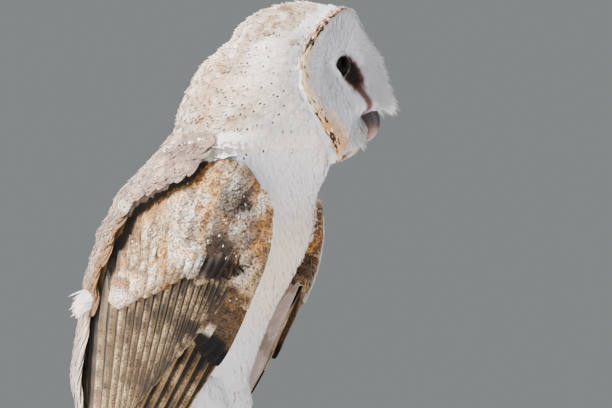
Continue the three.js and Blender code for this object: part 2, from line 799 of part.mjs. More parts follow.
for (const { word, side } of SIDES) {
  part(`eye_${word}`, eyeForm(side), COLOURS.eye, 0.08);

  const wing = wingForm(side).subtract(around).subtract(mantleRoom);
  const flight = wing.intersect(beyond(COVERT_CUT, -1));
  const front = aheadOfPrimaryCut(side);
  part(`wing_${word}_coverts`, wing.intersect(beyond(COVERT_CUT, 1)), COLOURS.wing);
  part(`wing_${word}_primaries`, flight.intersect(front.translate([GAP, 0, 0])), COLOURS.wing);
  part(`wing_${word}_secondaries`, flight.subtract(front), COLOURS.wing);

  const thigh = solid(tube(mirrored(THIGH.path, side), THIGH.radii, ...LEG_FACETS.thigh));
  const wingRoom = wing.add(wing.translate([0, -side * LAYER_GAP, 0]));
  const thighFree = thigh.subtract(around).subtract(wingRoom).intersect(ankleAbove);
  part(`thigh_${word}`, thighFree, COLOURS.white);
  const foot = footForm(side, gripped);
  const tarsus = solid(tube(mirrored(TARSUS.path, side), TARSUS.radii, ...LEG_FACETS.tarsus));
  const footRoom = footForm(side, gripped).translate([0, 0, GAP]);
  const tarsusFree = tarsus.intersect(ankleBelow).subtract(footRoom).subtract(foot);
  part(`tarsus_${word}`, tarsusFree, COLOURS.white);
  part(`foot_${word}`, foot, COLOURS.foot, 0.7);
  for (const toe of TOES) {
    part(`claw_${word}_${toe.digit}`, clawForm(toe, side), COLOURS.claw, 0.35);
  }

  const drill = solid(rodForm(GAP)).translate([0, side * ROD.y, 0]);
  perch = perch.subtract(drill);
  base = base.subtract(drill);
  const rod = part(`stand_rod_${word}`, rodForm(), COLOURS.rod, 0.35, 0.9);
  rod.position.y = side * ROD.y;
}
part("perch", perch, COLOURS.bark, 0.95);
part("stand_base", base, COLOURS.base, 0.4);

export default owl;
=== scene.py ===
"""A life-size barn owl at rest on a short weathered branch, over a round wooden base.

The owl's forms are worked out in millimetres and put in the mesh in metres. It faces +X and its
left side is +Y. Marks on the plumage are placed on a chart: the owl's right side, seen from 19
degrees ahead of square, in steps of 0.6 mm across from the left and down from the crown's level.
"""

import math

import bmesh
import bpy
import numpy as np
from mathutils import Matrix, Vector
from mathutils.bvhtree import BVHTree


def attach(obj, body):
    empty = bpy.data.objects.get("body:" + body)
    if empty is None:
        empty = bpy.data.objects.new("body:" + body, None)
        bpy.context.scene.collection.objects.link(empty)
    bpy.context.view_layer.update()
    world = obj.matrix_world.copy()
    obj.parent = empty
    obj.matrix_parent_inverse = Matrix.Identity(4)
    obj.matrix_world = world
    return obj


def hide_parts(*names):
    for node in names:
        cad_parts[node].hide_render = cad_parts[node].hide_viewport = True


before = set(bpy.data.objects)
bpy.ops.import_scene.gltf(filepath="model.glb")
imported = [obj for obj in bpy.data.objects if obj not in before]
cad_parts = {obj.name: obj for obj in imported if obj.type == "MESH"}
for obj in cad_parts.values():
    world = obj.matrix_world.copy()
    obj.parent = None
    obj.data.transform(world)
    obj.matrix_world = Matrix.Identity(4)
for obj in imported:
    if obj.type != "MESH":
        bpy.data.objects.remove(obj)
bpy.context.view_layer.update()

MM = 0.001
CHART = 0.6  # mm to a step of the chart
CHART_LEFT = 215  # the chart's step at the origin
CHART_TOP = 404  # mm up, where the chart begins
VIEW_ANGLE = math.radians(19)
ACROSS = np.array([math.cos(VIEW_ANGLE), math.sin(VIEW_ANGLE), 0.0])
TOWARDS_EYE = np.array([math.sin(VIEW_ANGLE), -math.cos(VIEW_ANGLE), 0.0])
UP = np.array([0.0, 0.0, 1.0])
SIDES = {"right": -1, "left": 1}  # which way each side lies along Y

# ---------------------------------------------------------------- camera and light
CAMERA_AWAY = 2.041
CAMERA_AIM_ACROSS = 0.0546
CAMERA_HEIGHT = 0.2816
LENS, SENSOR = 200, 36  # mm


def make_camera():
    aim = ACROSS * CAMERA_AIM_ACROSS + UP * CAMERA_HEIGHT
    camera = bpy.data.objects.new("camera", bpy.data.cameras.new("camera"))
    camera.data.lens = LENS
    camera.data.sensor_width = SENSOR
    camera.data.clip_start = 0.05
    camera.location = Vector(aim + TOWARDS_EYE * CAMERA_AWAY)
    camera.rotation_euler = Vector(-TOWARDS_EYE).to_track_quat("-Z", "Y").to_euler()
    bpy.context.collection.objects.link(camera)
    bpy.context.scene.camera = camera


def make_light(name, place, aim, size, watts, colour):
    lamp = bpy.data.lights.new(name, "AREA")
    lamp.shape = "RECTANGLE"
    lamp.size, lamp.size_y = size
    lamp.energy = watts
    lamp.color = colour
    holder = bpy.data.objects.new(name, lamp)
    holder.location = place
    holder.rotation_euler = (Vector(aim) - Vector(place)).to_track_quat("-Z", "Y").to_euler()
    bpy.context.collection.objects.link(holder)


make_camera()
make_light("key_light", (-1.35, -0.7, 1.7), (0, 0, 0.28), (0.4, 0.4), 250, (1.0, 0.95, 0.88))
make_light("back_light", (-0.9, 1.3, 1.2), (0, 0, 0.3), (0.9, 0.9), 45, (1.0, 0.98, 0.95))
make_light("fill_light", (1.7, -1.2, 0.8), (0, 0, 0.25), (1.6, 1.6), 24, (0.88, 0.93, 1.0))

world = bpy.data.worlds.new("studio")
bpy.context.scene.world = world
world.use_nodes = True
world.node_tree.nodes["Background"].inputs["Color"].default_value = (0.43, 0.46, 0.46, 1)
world.node_tree.nodes["Background"].inputs["Strength"].default_value = 0.55


# ---------------------------------------------------------------- numbers and noise
def rise(value, start, end):
    share = np.clip((value - start) / (end - start), 0, 1)
    return share * share * (3 - 2 * share)


def lerp(a, b, share):
    return a + (b - a) * share


def joined(*values):
    """Numbers or arrays side by side, as places or directions."""
    return np.stack(np.broadcast_arrays(*values), -1)


def unit(vectors):
    return vectors / np.maximum(np.linalg.norm(vectors, axis=-1, keepdims=True), 1e-9)


def curve(keys, values, slopes):
    """A smooth curve through values at their keys, with the given slopes there."""

    def read(place):
        place = np.clip(place, keys[0], keys[-1])
        i = np.clip(np.searchsorted(keys, place, side="right") - 1, 0, len(keys) - 2)
        span = keys[i + 1] - keys[i]
        s = (place - keys[i]) / span
        if values.ndim > 1:
            s, span = s[..., None], span[..., None]
        return (
            (2 * s**3 - 3 * s**2 + 1) * values[i]
            + (s**3 - 2 * s**2 + s) * span * slopes[i]
            + (-2 * s**3 + 3 * s**2) * values[i + 1]
            + (s**3 - s**2) * span * slopes[i + 1]
        )

    return read


def through(rows, column=1):
    """A curve through one column of a table, read by its first column, with no overshoot."""
    rows = sorted(rows)
    keys = np.array([row[0] for row in rows], float)
    values = np.array([row[column] for row in rows], float)
    slope = np.diff(values) / np.diff(keys)
    before = np.concatenate([slope[:1], slope])
    after = np.concatenate([slope, slope[-1:]])
    same_way = before * after > 0
    steady = 2 * before * after / np.where(same_way, before + after, 1)
    return curve(keys, values, np.where(same_way, steady, 0))


def path_through(points):
    """A smooth path through points, read by share of the way from 0 to 1."""
    points = np.array(points, float)
    keys = np.linspace(0, 1, len(points))
    return curve(keys, points, np.gradient(points, keys, axis=0))


def lattice_value(cells, seed):
    n = cells[..., 0] * 73856093 ^ cells[..., 1] * 19349663 ^ cells[..., 2] * 83492791 ^ seed * 2654435
    n = (n ^ (n >> 13)) * 1274126177
    n = n ^ (n >> 16)
    return (n & 0xFFFF) / 65535.0


def noise(points, size, seed=0, octaves=2):
    """Soft noise from -1 to 1, with lumps about size across."""
    total, weight = 0.0, 0.0
    for octave in range(octaves):
        q = np.asarray(points) / size * 2**octave
        cell = np.floor(q).astype(np.int64)
        f = q - cell
        f = f * f * (3 - 2 * f)
        value = 0.0
        for corner in range(8):
            step = np.array([corner & 1, corner >> 1 & 1, corner >> 2 & 1])
            share = np.prod(np.where(step == 1, f, 1 - f), axis=-1)
            value = value + share * lattice_value(cell + step, seed + octave)
        total = total + (value * 2 - 1) * 0.5**octave
        weight += 0.5**octave
    return total / weight


def shade(code):
    """A colour from its six-figure code, as the renderer's linear values."""
    parts = np.array([int(code[i : i + 2], 16) / 255 for i in (0, 2, 4)])
    return np.where(parts <= 0.04045, parts / 12.92, ((parts + 0.055) / 1.055) ** 2.4)


def rich(colour):
    """Colours with more depth and strength, as plumage keeps under a bright lamp."""
    grey = np.mean(colour, -1, keepdims=True)
    return np.clip(grey + (colour - grey) * 1.5, 0.003, 1) ** 1.22


# ---------------------------------------------------------------- the owl's form
# Height, centre, reach forwards and backwards from the centre, half width.
BODY = [
    (403, 54, 44, 38.5, 43),
    (380, 50, 45, 38, 47.5),
    (370, 49, 46, 48, 49),
    (361, 48, 46, 57, 49.5),
    (342, 42, 50, 61.5, 49),
    (322, 32, 53, 58, 48),
    (308, 20, 54, 53, 48),
    (289, 8, 55.5, 58, 50),
    (260, -3, 61, 63, 52),
    (240, -8, 56, 64, 51.5),
    (222, -12, 49, 63, 50),
    (200, -18, 45, 60, 47),
    (170, -27, 43, 52, 42),
    (140, -41, 40, 39, 35),
    (110, -54, 27, 26, 29),
    (80, -65, 14, 14, 22),
    (56, -74, 6, 6, 14),
]
CROWN_Z, CROWN_ROUNDING = 403, 26
VENT_Z, VENT_ROUNDING = 134, 42
HEAD_TURN, HEAD_AXIS_X, TURN_FROM_Z, TURN_TO_Z = math.radians(7), 40, 292, 345
DISC_Z, DISC_HALF_WIDTH, RIM_SIDE_X, RIM_LIP, DISC_BACK_X = 353, 46, 68.5, 3.5, 61
# Angle from up in degrees, and the facial disc's reach that way.
DISC_OUTLINE = [(0, 42), (28, 46.5), (60, 49), (90, 46.5), (120, 43.5), (150, 42.5), (180, 44)]
# Height, how far forward the face is there, and the ridge's height off it.
FACE = [
    (309, 77.5, 0),
    (315, 85, 0),
    (322, 89, 0),
    (334, 91.5, 2),
    (338, 92, 13.5),
    (343, 91.5, 19),
    (351, 91, 17.5),
    (361, 90, 16),
    (372, 88, 13.5),
    (384, 85.5, 7.5),
    (395, 83.5, 1.5),
]
SIDE_FALL_POWER, RIDGE_LOW, RIDGE_HIGH = 2.4, 8.5, 6
DISH_Y, DISH_Z, DISH_DEPTH, DISH_RADIUS = 22, 355, 3.5, 15
EYE_CENTRE, EYE_RADIUS = np.array([77.5, 17, 363.5]), 9

# Height, front edge's angle, how far the outer face stands off the body there and at mid wing.
WING = [
    (316, 62, 7, 6),
    (301, 50, 9.5, 9),
    (279, 44, 13, 10),
    (258, 42, 16.5, 10),
    (240, 42, 21, 9.5),
    (222, 42, 23, 9.5),
    (202, 43.5, 23, 9.5),
    (187, 48, 24, 9.5),
    (170, 55, 25, 9.5),
    (156, 58, 26, 9),
    (140, 60.5, 23, 8.5),
    (110, 62, 16.5, 7),
    (80, 72, 8, 5.5),
    (56, 90, 4.5, 4.5),
]
WING_TIP_Z, WING_TRAIL_OFFSET = 56, 6
# Height, and angle round the body in degrees, of the mantle's edge over the wing.
MANTLE_EDGE = [
    (316, 92), (300, 96), (289, 108), (281, 120), (263, 125), (242, 129), (222, 135), (208, 147),
]
MANTLE_END_Z = 209
# Height, and how far the rump stands off the body.
RUMP_OFFSET = [(209, 9.5), (193, 11), (176, 12.5), (162, 9.5), (146, 6.5)]

centre_at, front_at, back_at, half_at = (through(BODY, i) for i in (1, 2, 3, 4))
outline_at = through(DISC_OUTLINE)
face_at, ridge_at = through(FACE), through(FACE, 2)
lead_at, edge_at, middle_at = (through(WING, i) for i in (1, 2, 3))
mantle_edge_at, rump_offset_at = through(MANTLE_EDGE), through(RUMP_OFFSET)


def turned(points, way=1):
    """Points with the head's turn, or with way -1 without it."""
    points = np.asarray(points, float)
    angle = way * HEAD_TURN * rise(points[..., 2], TURN_FROM_Z, TURN_TO_Z)
    x, y = points[..., 0] - HEAD_AXIS_X, points[..., 1]
    ahead = HEAD_AXIS_X + x * np.cos(angle) - y * np.sin(angle)
    return joined(ahead, x * np.sin(angle) + y * np.cos(angle), points[..., 2])


def aside_and_up(points):
    """How far points are from the middle, and how high, with the head turned straight."""
    straight = turned(points, -1)
    return np.abs(straight[..., 1]), straight[..., 2]


def other_side(points):
    """The same points on the owl's other side."""
    straight = turned(points, -1)
    return turned(straight * np.array([1, -1, 1]))


def on_body(z, angle, offset=0.0, closing=1.0):
    """A point by height and angle from straight ahead, off the body's section drawn in by closing."""
    z, angle = np.broadcast_arrays(np.asarray(z, float), angle)
    reach = np.where(np.cos(angle) > 0, front_at(z), back_at(z)) * closing + offset
    half = half_at(z) * closing + offset
    straight = joined(centre_at(z) + reach * np.cos(angle), half * np.sin(angle), z)
    return turned(straight)


def closing_at(distance, height):
    """How wide a rounded end is, by distance from its pole, from 0 there to 1 at its height."""
    share = np.clip(distance / height, 0, 1)
    return np.sqrt(np.maximum(0, 1 - (1 - share) ** 2))


def rim_x(y, z):
    return lerp(face_at(z), RIM_SIDE_X, (np.abs(y) / DISC_HALF_WIDTH) ** SIDE_FALL_POWER)


def face_x(y, z):
    width = lerp(RIDGE_LOW, RIDGE_HIGH, rise(z, 309, 395))
    from_dish = np.hypot(np.abs(y) - DISH_Y, z - DISH_Z) / DISH_RADIUS
    return rim_x(y, z) + ridge_at(z) * np.exp(-((y / width) ** 2)) - DISH_DEPTH * np.exp(-(from_dish**2))


def on_face(angle, share):
    """A point on the facial disc, by angle from up and share of the way out to its rim."""
    folded = np.abs((np.degrees(angle) + 180) % 360 - 180)
    radius = outline_at(folded) * share
    y, z = radius * np.sin(angle), DISC_Z + radius * np.cos(angle)
    # past the rim the surface stays as far forward as it is at the rim
    inside = np.minimum(share, 1)
    outwards = np.maximum(share, 1e-6)
    ahead = face_x(y / outwards * inside, DISC_Z + (z - DISC_Z) / outwards * inside)
    return joined(ahead, y, z)


def face_share(points):
    """How far out on the facial disc places are, 1 at its rim, and how far ahead of its back."""
    straight = turned(points, -1)
    y, up = straight[..., 1], straight[..., 2] - DISC_Z
    share = np.hypot(y, up) / outline_at(np.degrees(np.arctan2(np.abs(y), up)))
    to_rim = 1 / np.maximum(share, 1e-3)
    rim = rim_x(y * to_rim, DISC_Z + up * to_rim)
    back = lerp(DISC_BACK_X, rim - RIM_LIP, np.minimum(share, 1) ** 2)
    return share, straight[..., 0] - back


def trail_at(z):
    """The angle round the body at which the folded wing ends or goes under the mantle."""
    low = lerp(160, 143, rise(z, WING_TIP_Z, 146))
    return np.where(z > MANTLE_END_Z, np.minimum(mantle_edge_at(z) + 1.2, 143), low)


def wing_outside(z, degrees):
    """How far the folded wing's outer face stands off the body."""
    across = np.clip((degrees - lead_at(z)) / (trail_at(z) - lead_at(z)), 0, 1.1)
    flare = (edge_at(z) - middle_at(z)) * (1 - np.minimum(across, 1)) ** 2
    return middle_at(z) + flare - np.maximum(0, middle_at(z) - WING_TRAIL_OFFSET) * across**4


def on_wing(z, degrees, depth):
    """A point of the right wing, by height and angle round the body, below its outer face."""
    return on_body(z, -np.radians(degrees), wing_outside(z, degrees) - depth)


def chart(points):
    """Where points lie on the chart, those on the left side as their mirror image."""
    straight = turned(points, -1)
    straight[..., 1] = -np.abs(straight[..., 1])
    seen = turned(straight)
    return CHART_LEFT + seen @ ACROSS / CHART, (CHART_TOP - seen[..., 2]) / CHART


# ---------------------------------------------------------------- moulded shapes
def moulded(name, across, along, shape, finish=None):
    """A closed form: a ball's rings and sides, moved to where shape puts them.

    shape is given each vertex's share of the way along from 0 to 1, its angle round, and how wide
    its ring is from 0 to 1, and gives places in millimetres.
    """
    form = bmesh.new()
    bmesh.ops.create_uvsphere(form, u_segments=across, v_segments=along, radius=1)
    ball = np.array([v.co for v in form.verts])
    share = np.arccos(np.clip(-ball[:, 2], -1, 1)) / math.pi
    wide = np.hypot(ball[:, 0], ball[:, 1])
    places = shape(share, np.arctan2(ball[:, 1], ball[:, 0]), wide)
    for vertex, place in zip(form.verts, places):
        vertex.co = place * MM
    bmesh.ops.recalc_face_normals(form, faces=form.faces)
    return finished(name, form, finish)


def finished(name, form, finish=None):
    mesh = bpy.data.meshes.new(name)
    form.to_mesh(mesh)
    form.free()
    smooth_shaded(mesh)
    if finish:
        mesh.materials.append(finish)
    return placed(name, mesh)


def placed(name, mesh):
    piece = bpy.data.objects.new(name, mesh)
    bpy.context.collection.objects.link(piece)
    return piece


def ball_shape(centre, reach):
    """A shape for moulded: a ball of one radius, or an egg of three."""

    def shape(share, angle, wide):
        up = -np.cos(math.pi * share)
        round_it = joined(wide * np.cos(angle), wide * np.sin(angle), up)
        return np.asarray(centre) + round_it * np.asarray(reach)

    return shape


def on_head(shape):
    """The same shape, turned with the head."""
    return lambda share, angle, wide: turned(shape(share, angle, wide))


def tube_shape(points, radii, end=0.08, flat=1.0):
    """A shape for moulded: a tube along a path, rounded over its ends, flattened by flat."""
    middle = path_through(points)
    radius_at = through(zip(np.linspace(0, 1, len(radii)), radii))

    def shape(share, angle, wide):
        ends = closing_at(share, end) * closing_at(1 - share, end)
        along = unit(middle(share + 0.01) - middle(share - 0.01))
        side = unit(np.cross(along, np.array([0.013, 1, 0.021])))
        over = np.cross(side, along)
        radius = (radius_at(share) * ends)[:, None]
        ring = np.cos(angle)[:, None] * side + np.sin(angle)[:, None] * over * flat
        return middle(share) + ring * radius

    return shape


def applied(piece):
    """The piece's mesh with its modifiers made real."""
    graph = bpy.context.evaluated_depsgraph_get()
    mesh = bpy.data.meshes.new_from_object(piece.evaluated_get(graph))
    piece.modifiers.clear()
    old = piece.data
    piece.data = mesh
    bpy.data.meshes.remove(old)
    smooth_shaded(mesh)
    return piece


def fused(name, pieces, voxel, smoothing):
    """Overlapping closed forms made one even mesh."""
    whole = pieces[0]
    whole.name = name
    form = bmesh.new()
    for piece in pieces:
        form.from_mesh(piece.data)
    form.to_mesh(whole.data)
    form.free()
    for piece in pieces[1:]:
        bpy.data.meshes.remove(piece.data)
    remesh = whole.modifiers.new("even", "REMESH")
    remesh.mode = "VOXEL"
    remesh.voxel_size = voxel * MM
    smooth = whole.modifiers.new("smooth", "SMOOTH")
    smooth.factor = 0.5
    smooth.iterations = smoothing
    return applied(whole)


def smooth_shaded(mesh):
    mesh.polygons.foreach_set("use_smooth", [True] * len(mesh.polygons))


def places_of(mesh):
    """A mesh's vertices in millimetres."""
    places = np.empty(len(mesh.vertices) * 3)
    mesh.vertices.foreach_get("co", places)
    return places.reshape(-1, 3) / MM


def put_colours(mesh, layer, colours):
    """A layer of colours, one to each vertex."""
    made = mesh.color_attributes.new(name=layer, type="FLOAT_COLOR", domain="POINT")
    flat = colours.reshape(-1, 3)
    made.data.foreach_set("color", np.concatenate([flat, np.ones((len(flat), 1))], 1).ravel())


def normals_of(mesh):
    normals = np.empty(len(mesh.vertices) * 3)
    mesh.vertex_normals.foreach_get("vector", normals)
    return normals.reshape(-1, 3)


def put_places(mesh, places):
    mesh.vertices.foreach_set("co", (places * MM).ravel())
    mesh.update()


# ---------------------------------------------------------------- the skin
# Height, and how deep the coat lies there.
COAT_DEPTH = [(118, 1.6), (140, 3), (175, 4.2), (260, 4.6), (320, 4), (403, 3.2)]
coat_depth_at = through(COAT_DEPTH)
FACE_COAT_DEPTH, RIDGE_COAT_EXTRA, RIDGE_HALF_WIDTH = 2.6, 1.4, 7
WING_COAT_DEPTH, WING_LAYER_MOST, MANTLE_LAYER = 4.2, 6.5, 5.0
BED_TOP_Z, BED_END_Z, BED_END_ANGLE = 308, 232, 112  # the wing's flesh, in mm and degrees


def body_offset(z, degrees):
    """How far the skin lies off the body's section: inside it, and out where a wing or the mantle is."""
    away = np.minimum(degrees, 360 - degrees)
    bare = -coat_depth_at(z)
    under_wing = np.clip(wing_outside(z, away), 0, 30) - WING_COAT_DEPTH
    behind_lead = rise(away, lead_at(z) + 10, lead_at(z) + 34)
    high = rise(z, 196, 222) * (1 - rise(z, 300, 316))
    on_back = rise(away, trail_at(z) - 6, trail_at(z) + 4)
    layered = lerp(np.minimum(under_wing, WING_LAYER_MOST), MANTLE_LAYER, on_back)
    return lerp(bare, layered, behind_lead * high)


def body_shape(share, angle, wide):
    z = lerp(VENT_Z, CROWN_Z, (1 - np.cos(math.pi * share)) / 2)
    closing = np.minimum(closing_at(z - VENT_Z, VENT_ROUNDING), closing_at(CROWN_Z - z, CROWN_ROUNDING))
    degrees = np.degrees(angle) % 360
    offset = body_offset(z, degrees) * np.minimum(1, closing * 1.2)
    places = on_body(z, angle, offset, closing)
    # what would stand out through the face is drawn back behind it
    share_out, ahead = face_share(places)
    straight = turned(places, -1)
    straight[:, 0] -= np.maximum(0, ahead - 1.5) * (share_out < 1.03)
    places = turned(straight)
    places[:, 2] -= coat_depth_at(z) * rise(z, CROWN_Z - CROWN_ROUNDING, CROWN_Z)
    places[:, 2] += coat_depth_at(z) * (1 - rise(z, VENT_Z, VENT_Z + 10))
    return places


def disc_shape(share, angle, wide):
    front = share > 0.5
    out = np.minimum(wide, 1)
    face = on_face(angle, out)
    rim = on_face(angle, np.ones_like(out))
    behind = lerp(DISC_BACK_X - 4, rim[:, 0] - RIM_LIP, out**2)
    _, y, z = face.T
    on_ridge = np.exp(-((y / RIDGE_HALF_WIDTH) ** 2)) * rise(z, 326, 342) * (1 - rise(z, 372, 392))
    depth = (FACE_COAT_DEPTH + RIDGE_COAT_EXTRA * on_ridge) * (1 - out**6)
    face[:, 0] = np.where(front, face[:, 0] - depth, behind)
    return turned(face)


def bed_shape(share, angle, wide):
    """The folded wing's own flesh, a thin slab under its coverts, for the right side."""
    # the ball is read as a slab: out from its middle to its edge, with a front and a back
    reach = np.sin(math.pi * np.minimum(share, 1 - share)) ** 0.7
    across = 0.5 + 0.5 * reach * np.cos(angle)
    down = 0.5 + 0.5 * reach * np.sin(angle)
    z = lerp(BED_TOP_Z, BED_END_Z, down)
    degrees = lerp(lead_at(z) + 1.5, BED_END_ANGLE, across)
    middle = 3.0 + 1.4 * rise(across, 0, 0.5)
    half = (0.4 + 1.5 * np.sqrt(np.maximum(0, 1 - reach**2))) * np.where(share > 0.5, 1, -1)
    return on_wing(z, degrees, middle - half + 0.6)


# Places down the left leg to the foot, and the leg's radii along them.
LEG_PATH = [(-8, 21, 176), (0, 20, 156), (4, 18, 134), (3, 17, 124), (1, 16, 116)]
LEG_RADII = [17, 12.5, 7, 5.4, 5.2]


def make_skin():
    forms = [moulded("skin", 160, 200, body_shape), moulded("disc_form", 96, 64, disc_shape)]
    bed = moulded("bed_form", 72, 48, bed_shape)
    left_bed = bed.copy()
    left_bed.data = bed.data.copy()
    put_places(left_bed.data, other_side(places_of(left_bed.data)))
    left_bed.data.flip_normals()
    forms += [bed, left_bed]
    for side in SIDES.values():
        path = [(x, side * y, z) for x, y, z in LEG_PATH]
        forms.append(moulded("leg_form", 32, 40, tube_shape(path, LEG_RADII)))
    return fused("skin", forms, 1.5, 3)


EYE_AIM = math.radians(33)  # how far out from straight ahead each eye's opening looks
LID_HALF_WIDTH, LID_LOW_HALF_WIDTH, LID_HALF_HEIGHT = 36, 27, 40  # degrees round the eye


def eye_centre(side):
    return EYE_CENTRE * np.array([1, side, 1])


def eye_ways(points, side):
    """Where places lie from an eye's centre: degrees out from its aim, degrees up, and distance."""
    off = turned(points, -1) - eye_centre(side)
    distance = np.linalg.norm(off, axis=-1)
    aim = np.array([math.cos(EYE_AIM), side * math.sin(EYE_AIM), 0])
    aside = np.array([-math.sin(EYE_AIM), side * math.cos(EYE_AIM), 0])
    outwards = np.degrees(np.arctan2(off @ aside, off @ aim))
    up = np.degrees(np.arcsin(np.clip(off[..., 2] / np.maximum(distance, 1e-6), -1, 1)))
    return outwards, up, distance


def lid_share(outwards, up):
    """How far places are from the middle of the eye's opening: 1 at the lids' edge."""
    low = rise(-up, 1, 50)
    half = lerp(LID_HALF_WIDTH, LID_LOW_HALF_WIDTH, low)
    return np.hypot((outwards + 11 * low) / half, (up + 8) / LID_HALF_HEIGHT)


def near_eye(points):
    """The nearer eye's lid share, and the way up, for places on the face."""
    side = np.where(turned(points, -1)[..., 1] < 0, -1, 1)
    right, left = eye_ways(points, -1), eye_ways(points, 1)
    outwards, up, distance = (np.where(side < 0, a, b) for a, b in zip(right, left))
    ahead = np.abs(outwards) < 115
    return np.where(ahead & (distance < 26), lid_share(outwards, up), 9.0), up


def open_lids(mesh):
    """Gives the skin finer faces round each eye, and shapes its lids and the hollow they sit in."""
    form = bmesh.new()
    form.from_mesh(mesh)
    for reach in (17, 14):
        places = np.array([v.co for v in form.verts]) / MM
        close = np.zeros(len(places), bool)
        for side in SIDES.values():
            outwards, _, distance = eye_ways(places, side)
            close |= (distance < reach) & (np.abs(outwards) < 100)
        form.edges.ensure_lookup_table()
        edges = [edge for edge in form.edges if close[edge.verts[0].index] and close[edge.verts[1].index]]
        bmesh.ops.subdivide_edges(form, edges=edges, cuts=1, use_grid_fill=True)
        form.verts.index_update()
    bmesh.ops.triangulate(form, faces=[face for face in form.faces if len(face.verts) > 4])
    form.to_mesh(mesh)
    form.free()
    places = places_of(mesh)
    for side in SIDES.values():
        outwards, up, distance = eye_ways(places, side)
        away = lid_share(outwards, up)
        lid = lerp(EYE_RADIUS - 0.8, EYE_RADIUS + 0.45, rise(away, 0.9, 1.03))
        # a raised edge, and a groove behind it
        lid += 0.25 * np.exp(-(((away - 1.08) / 0.06) ** 2)) - 0.3 * np.exp(-(((away - 1.22) / 0.06) ** 2))
        share = (1 - rise(away, 1.3, 2.1)) * (distance < 19)
        centre = eye_centre(side)
        off = turned(places, -1) - centre
        reach = lerp(distance, lid, share)
        straight = centre + off * (reach / np.maximum(distance, 1e-6))[:, None]
        places = np.where((share > 0)[:, None], turned(straight), places)
    put_places(mesh, places)
    smooth_shaded(mesh)


skin = make_skin()
open_lids(skin.data)


# ---------------------------------------------------------------- grounds that feathers lie on
class Ground:
    """A surface to lay feathers on: places, smooth normals, and the nearest point to any place."""

    def __init__(self, mesh):
        self.places = places_of(mesh)
        mesh.calc_loop_triangles()
        corners = np.empty(len(mesh.loop_triangles) * 3, np.int64)
        mesh.loop_triangles.foreach_get("vertices", corners)
        self.corners = corners.reshape(-1, 3)
        self.normals = normals_of(mesh)
        self.tree = BVHTree.FromPolygons(self.places.tolist(), self.corners.tolist())
        self.face_normals = unit(self.normals[self.corners].mean(1))

    def nearest(self, points):
        found = [self.tree.find_nearest(point) for point in points.tolist()]
        places = np.array([hit[0] for hit in found])
        return places, self.face_normals[[hit[2] for hit in found]]

    def scatter(self, spacing, where, seed):
        """Even roots about spacing apart where where(places, normals) is true."""
        rng = np.random.default_rng(seed)
        a, b, c = (self.places[self.corners[:, i]] for i in range(3))
        area = np.linalg.norm(np.cross(b - a, c - a), axis=1) / 2
        keep = where(a, self.face_normals)
        a, b, c, area = a[keep], b[keep], c[keep], area[keep]
        normals = self.face_normals[keep]
        count = int(area.sum() / spacing**2 * 5)
        chosen = rng.choice(len(area), count, p=area / area.sum())
        s, t = rng.random((2, count, 1))
        fold = s + t > 1
        s, t = np.where(fold, 1 - s, s), np.where(fold, 1 - t, t)
        points = a[chosen] + (b[chosen] - a[chosen]) * s + (c[chosen] - a[chosen]) * t
        cells = np.floor(points / spacing).astype(np.int64)
        _, first = np.unique(cells, axis=0, return_index=True)
        return points[first], normals[chosen[first]]

    def spines(self, roots, flow, lengths, steps):
        """Middle lines that start at roots and follow flow over the surface, with their normals."""
        spine = np.empty((len(roots), steps + 1, 3))
        normal = np.empty_like(spine)
        spine[:, 0], normal[:, 0] = self.nearest(roots)
        stride = (lengths / steps)[:, None]
        for k in range(steps):
            way = flow(spine[:, k], normal[:, k])
            way = unit(way - normal[:, k] * np.sum(way * normal[:, k], -1, keepdims=True))
            spine[:, k + 1], normal[:, k + 1] = self.nearest(spine[:, k] + way * stride)
        return spine, normal


def wandering(flow, size, degrees, seed):
    """A flow turned a little to and fro, as feathers never lie quite alike."""

    def read(places, normals):
        way = flow(places, normals)
        angle = math.radians(degrees) * noise(places, size, seed)[..., None]
        return way * np.cos(angle) + np.cross(normals, way) * np.sin(angle)

    return read


# ---------------------------------------------------------------- feathers
PATCH = 0.003  # how wide a feather's patch is on the map for the export
# Each kind of feather's width, as shares of its widest, from root to tip.
CONTOUR = [0.42, 0.92, 1.0, 0.86, 0.3]
LONG_CONTOUR = [0.4, 0.8, 0.96, 1.0, 0.9, 0.66, 0.2]
HAIR = [0.7, 1.0, 0.8, 0.15]


def unwrapped(points):
    """Where a root lies on a plain unwrap of the body: round it, and up it."""
    forward, y, z = from_centre(points)
    round_it = np.arctan2(y, forward) / (2 * math.pi)
    return joined(0.03 + 0.94 * (round_it + 0.5), z / 430 + 0.02)


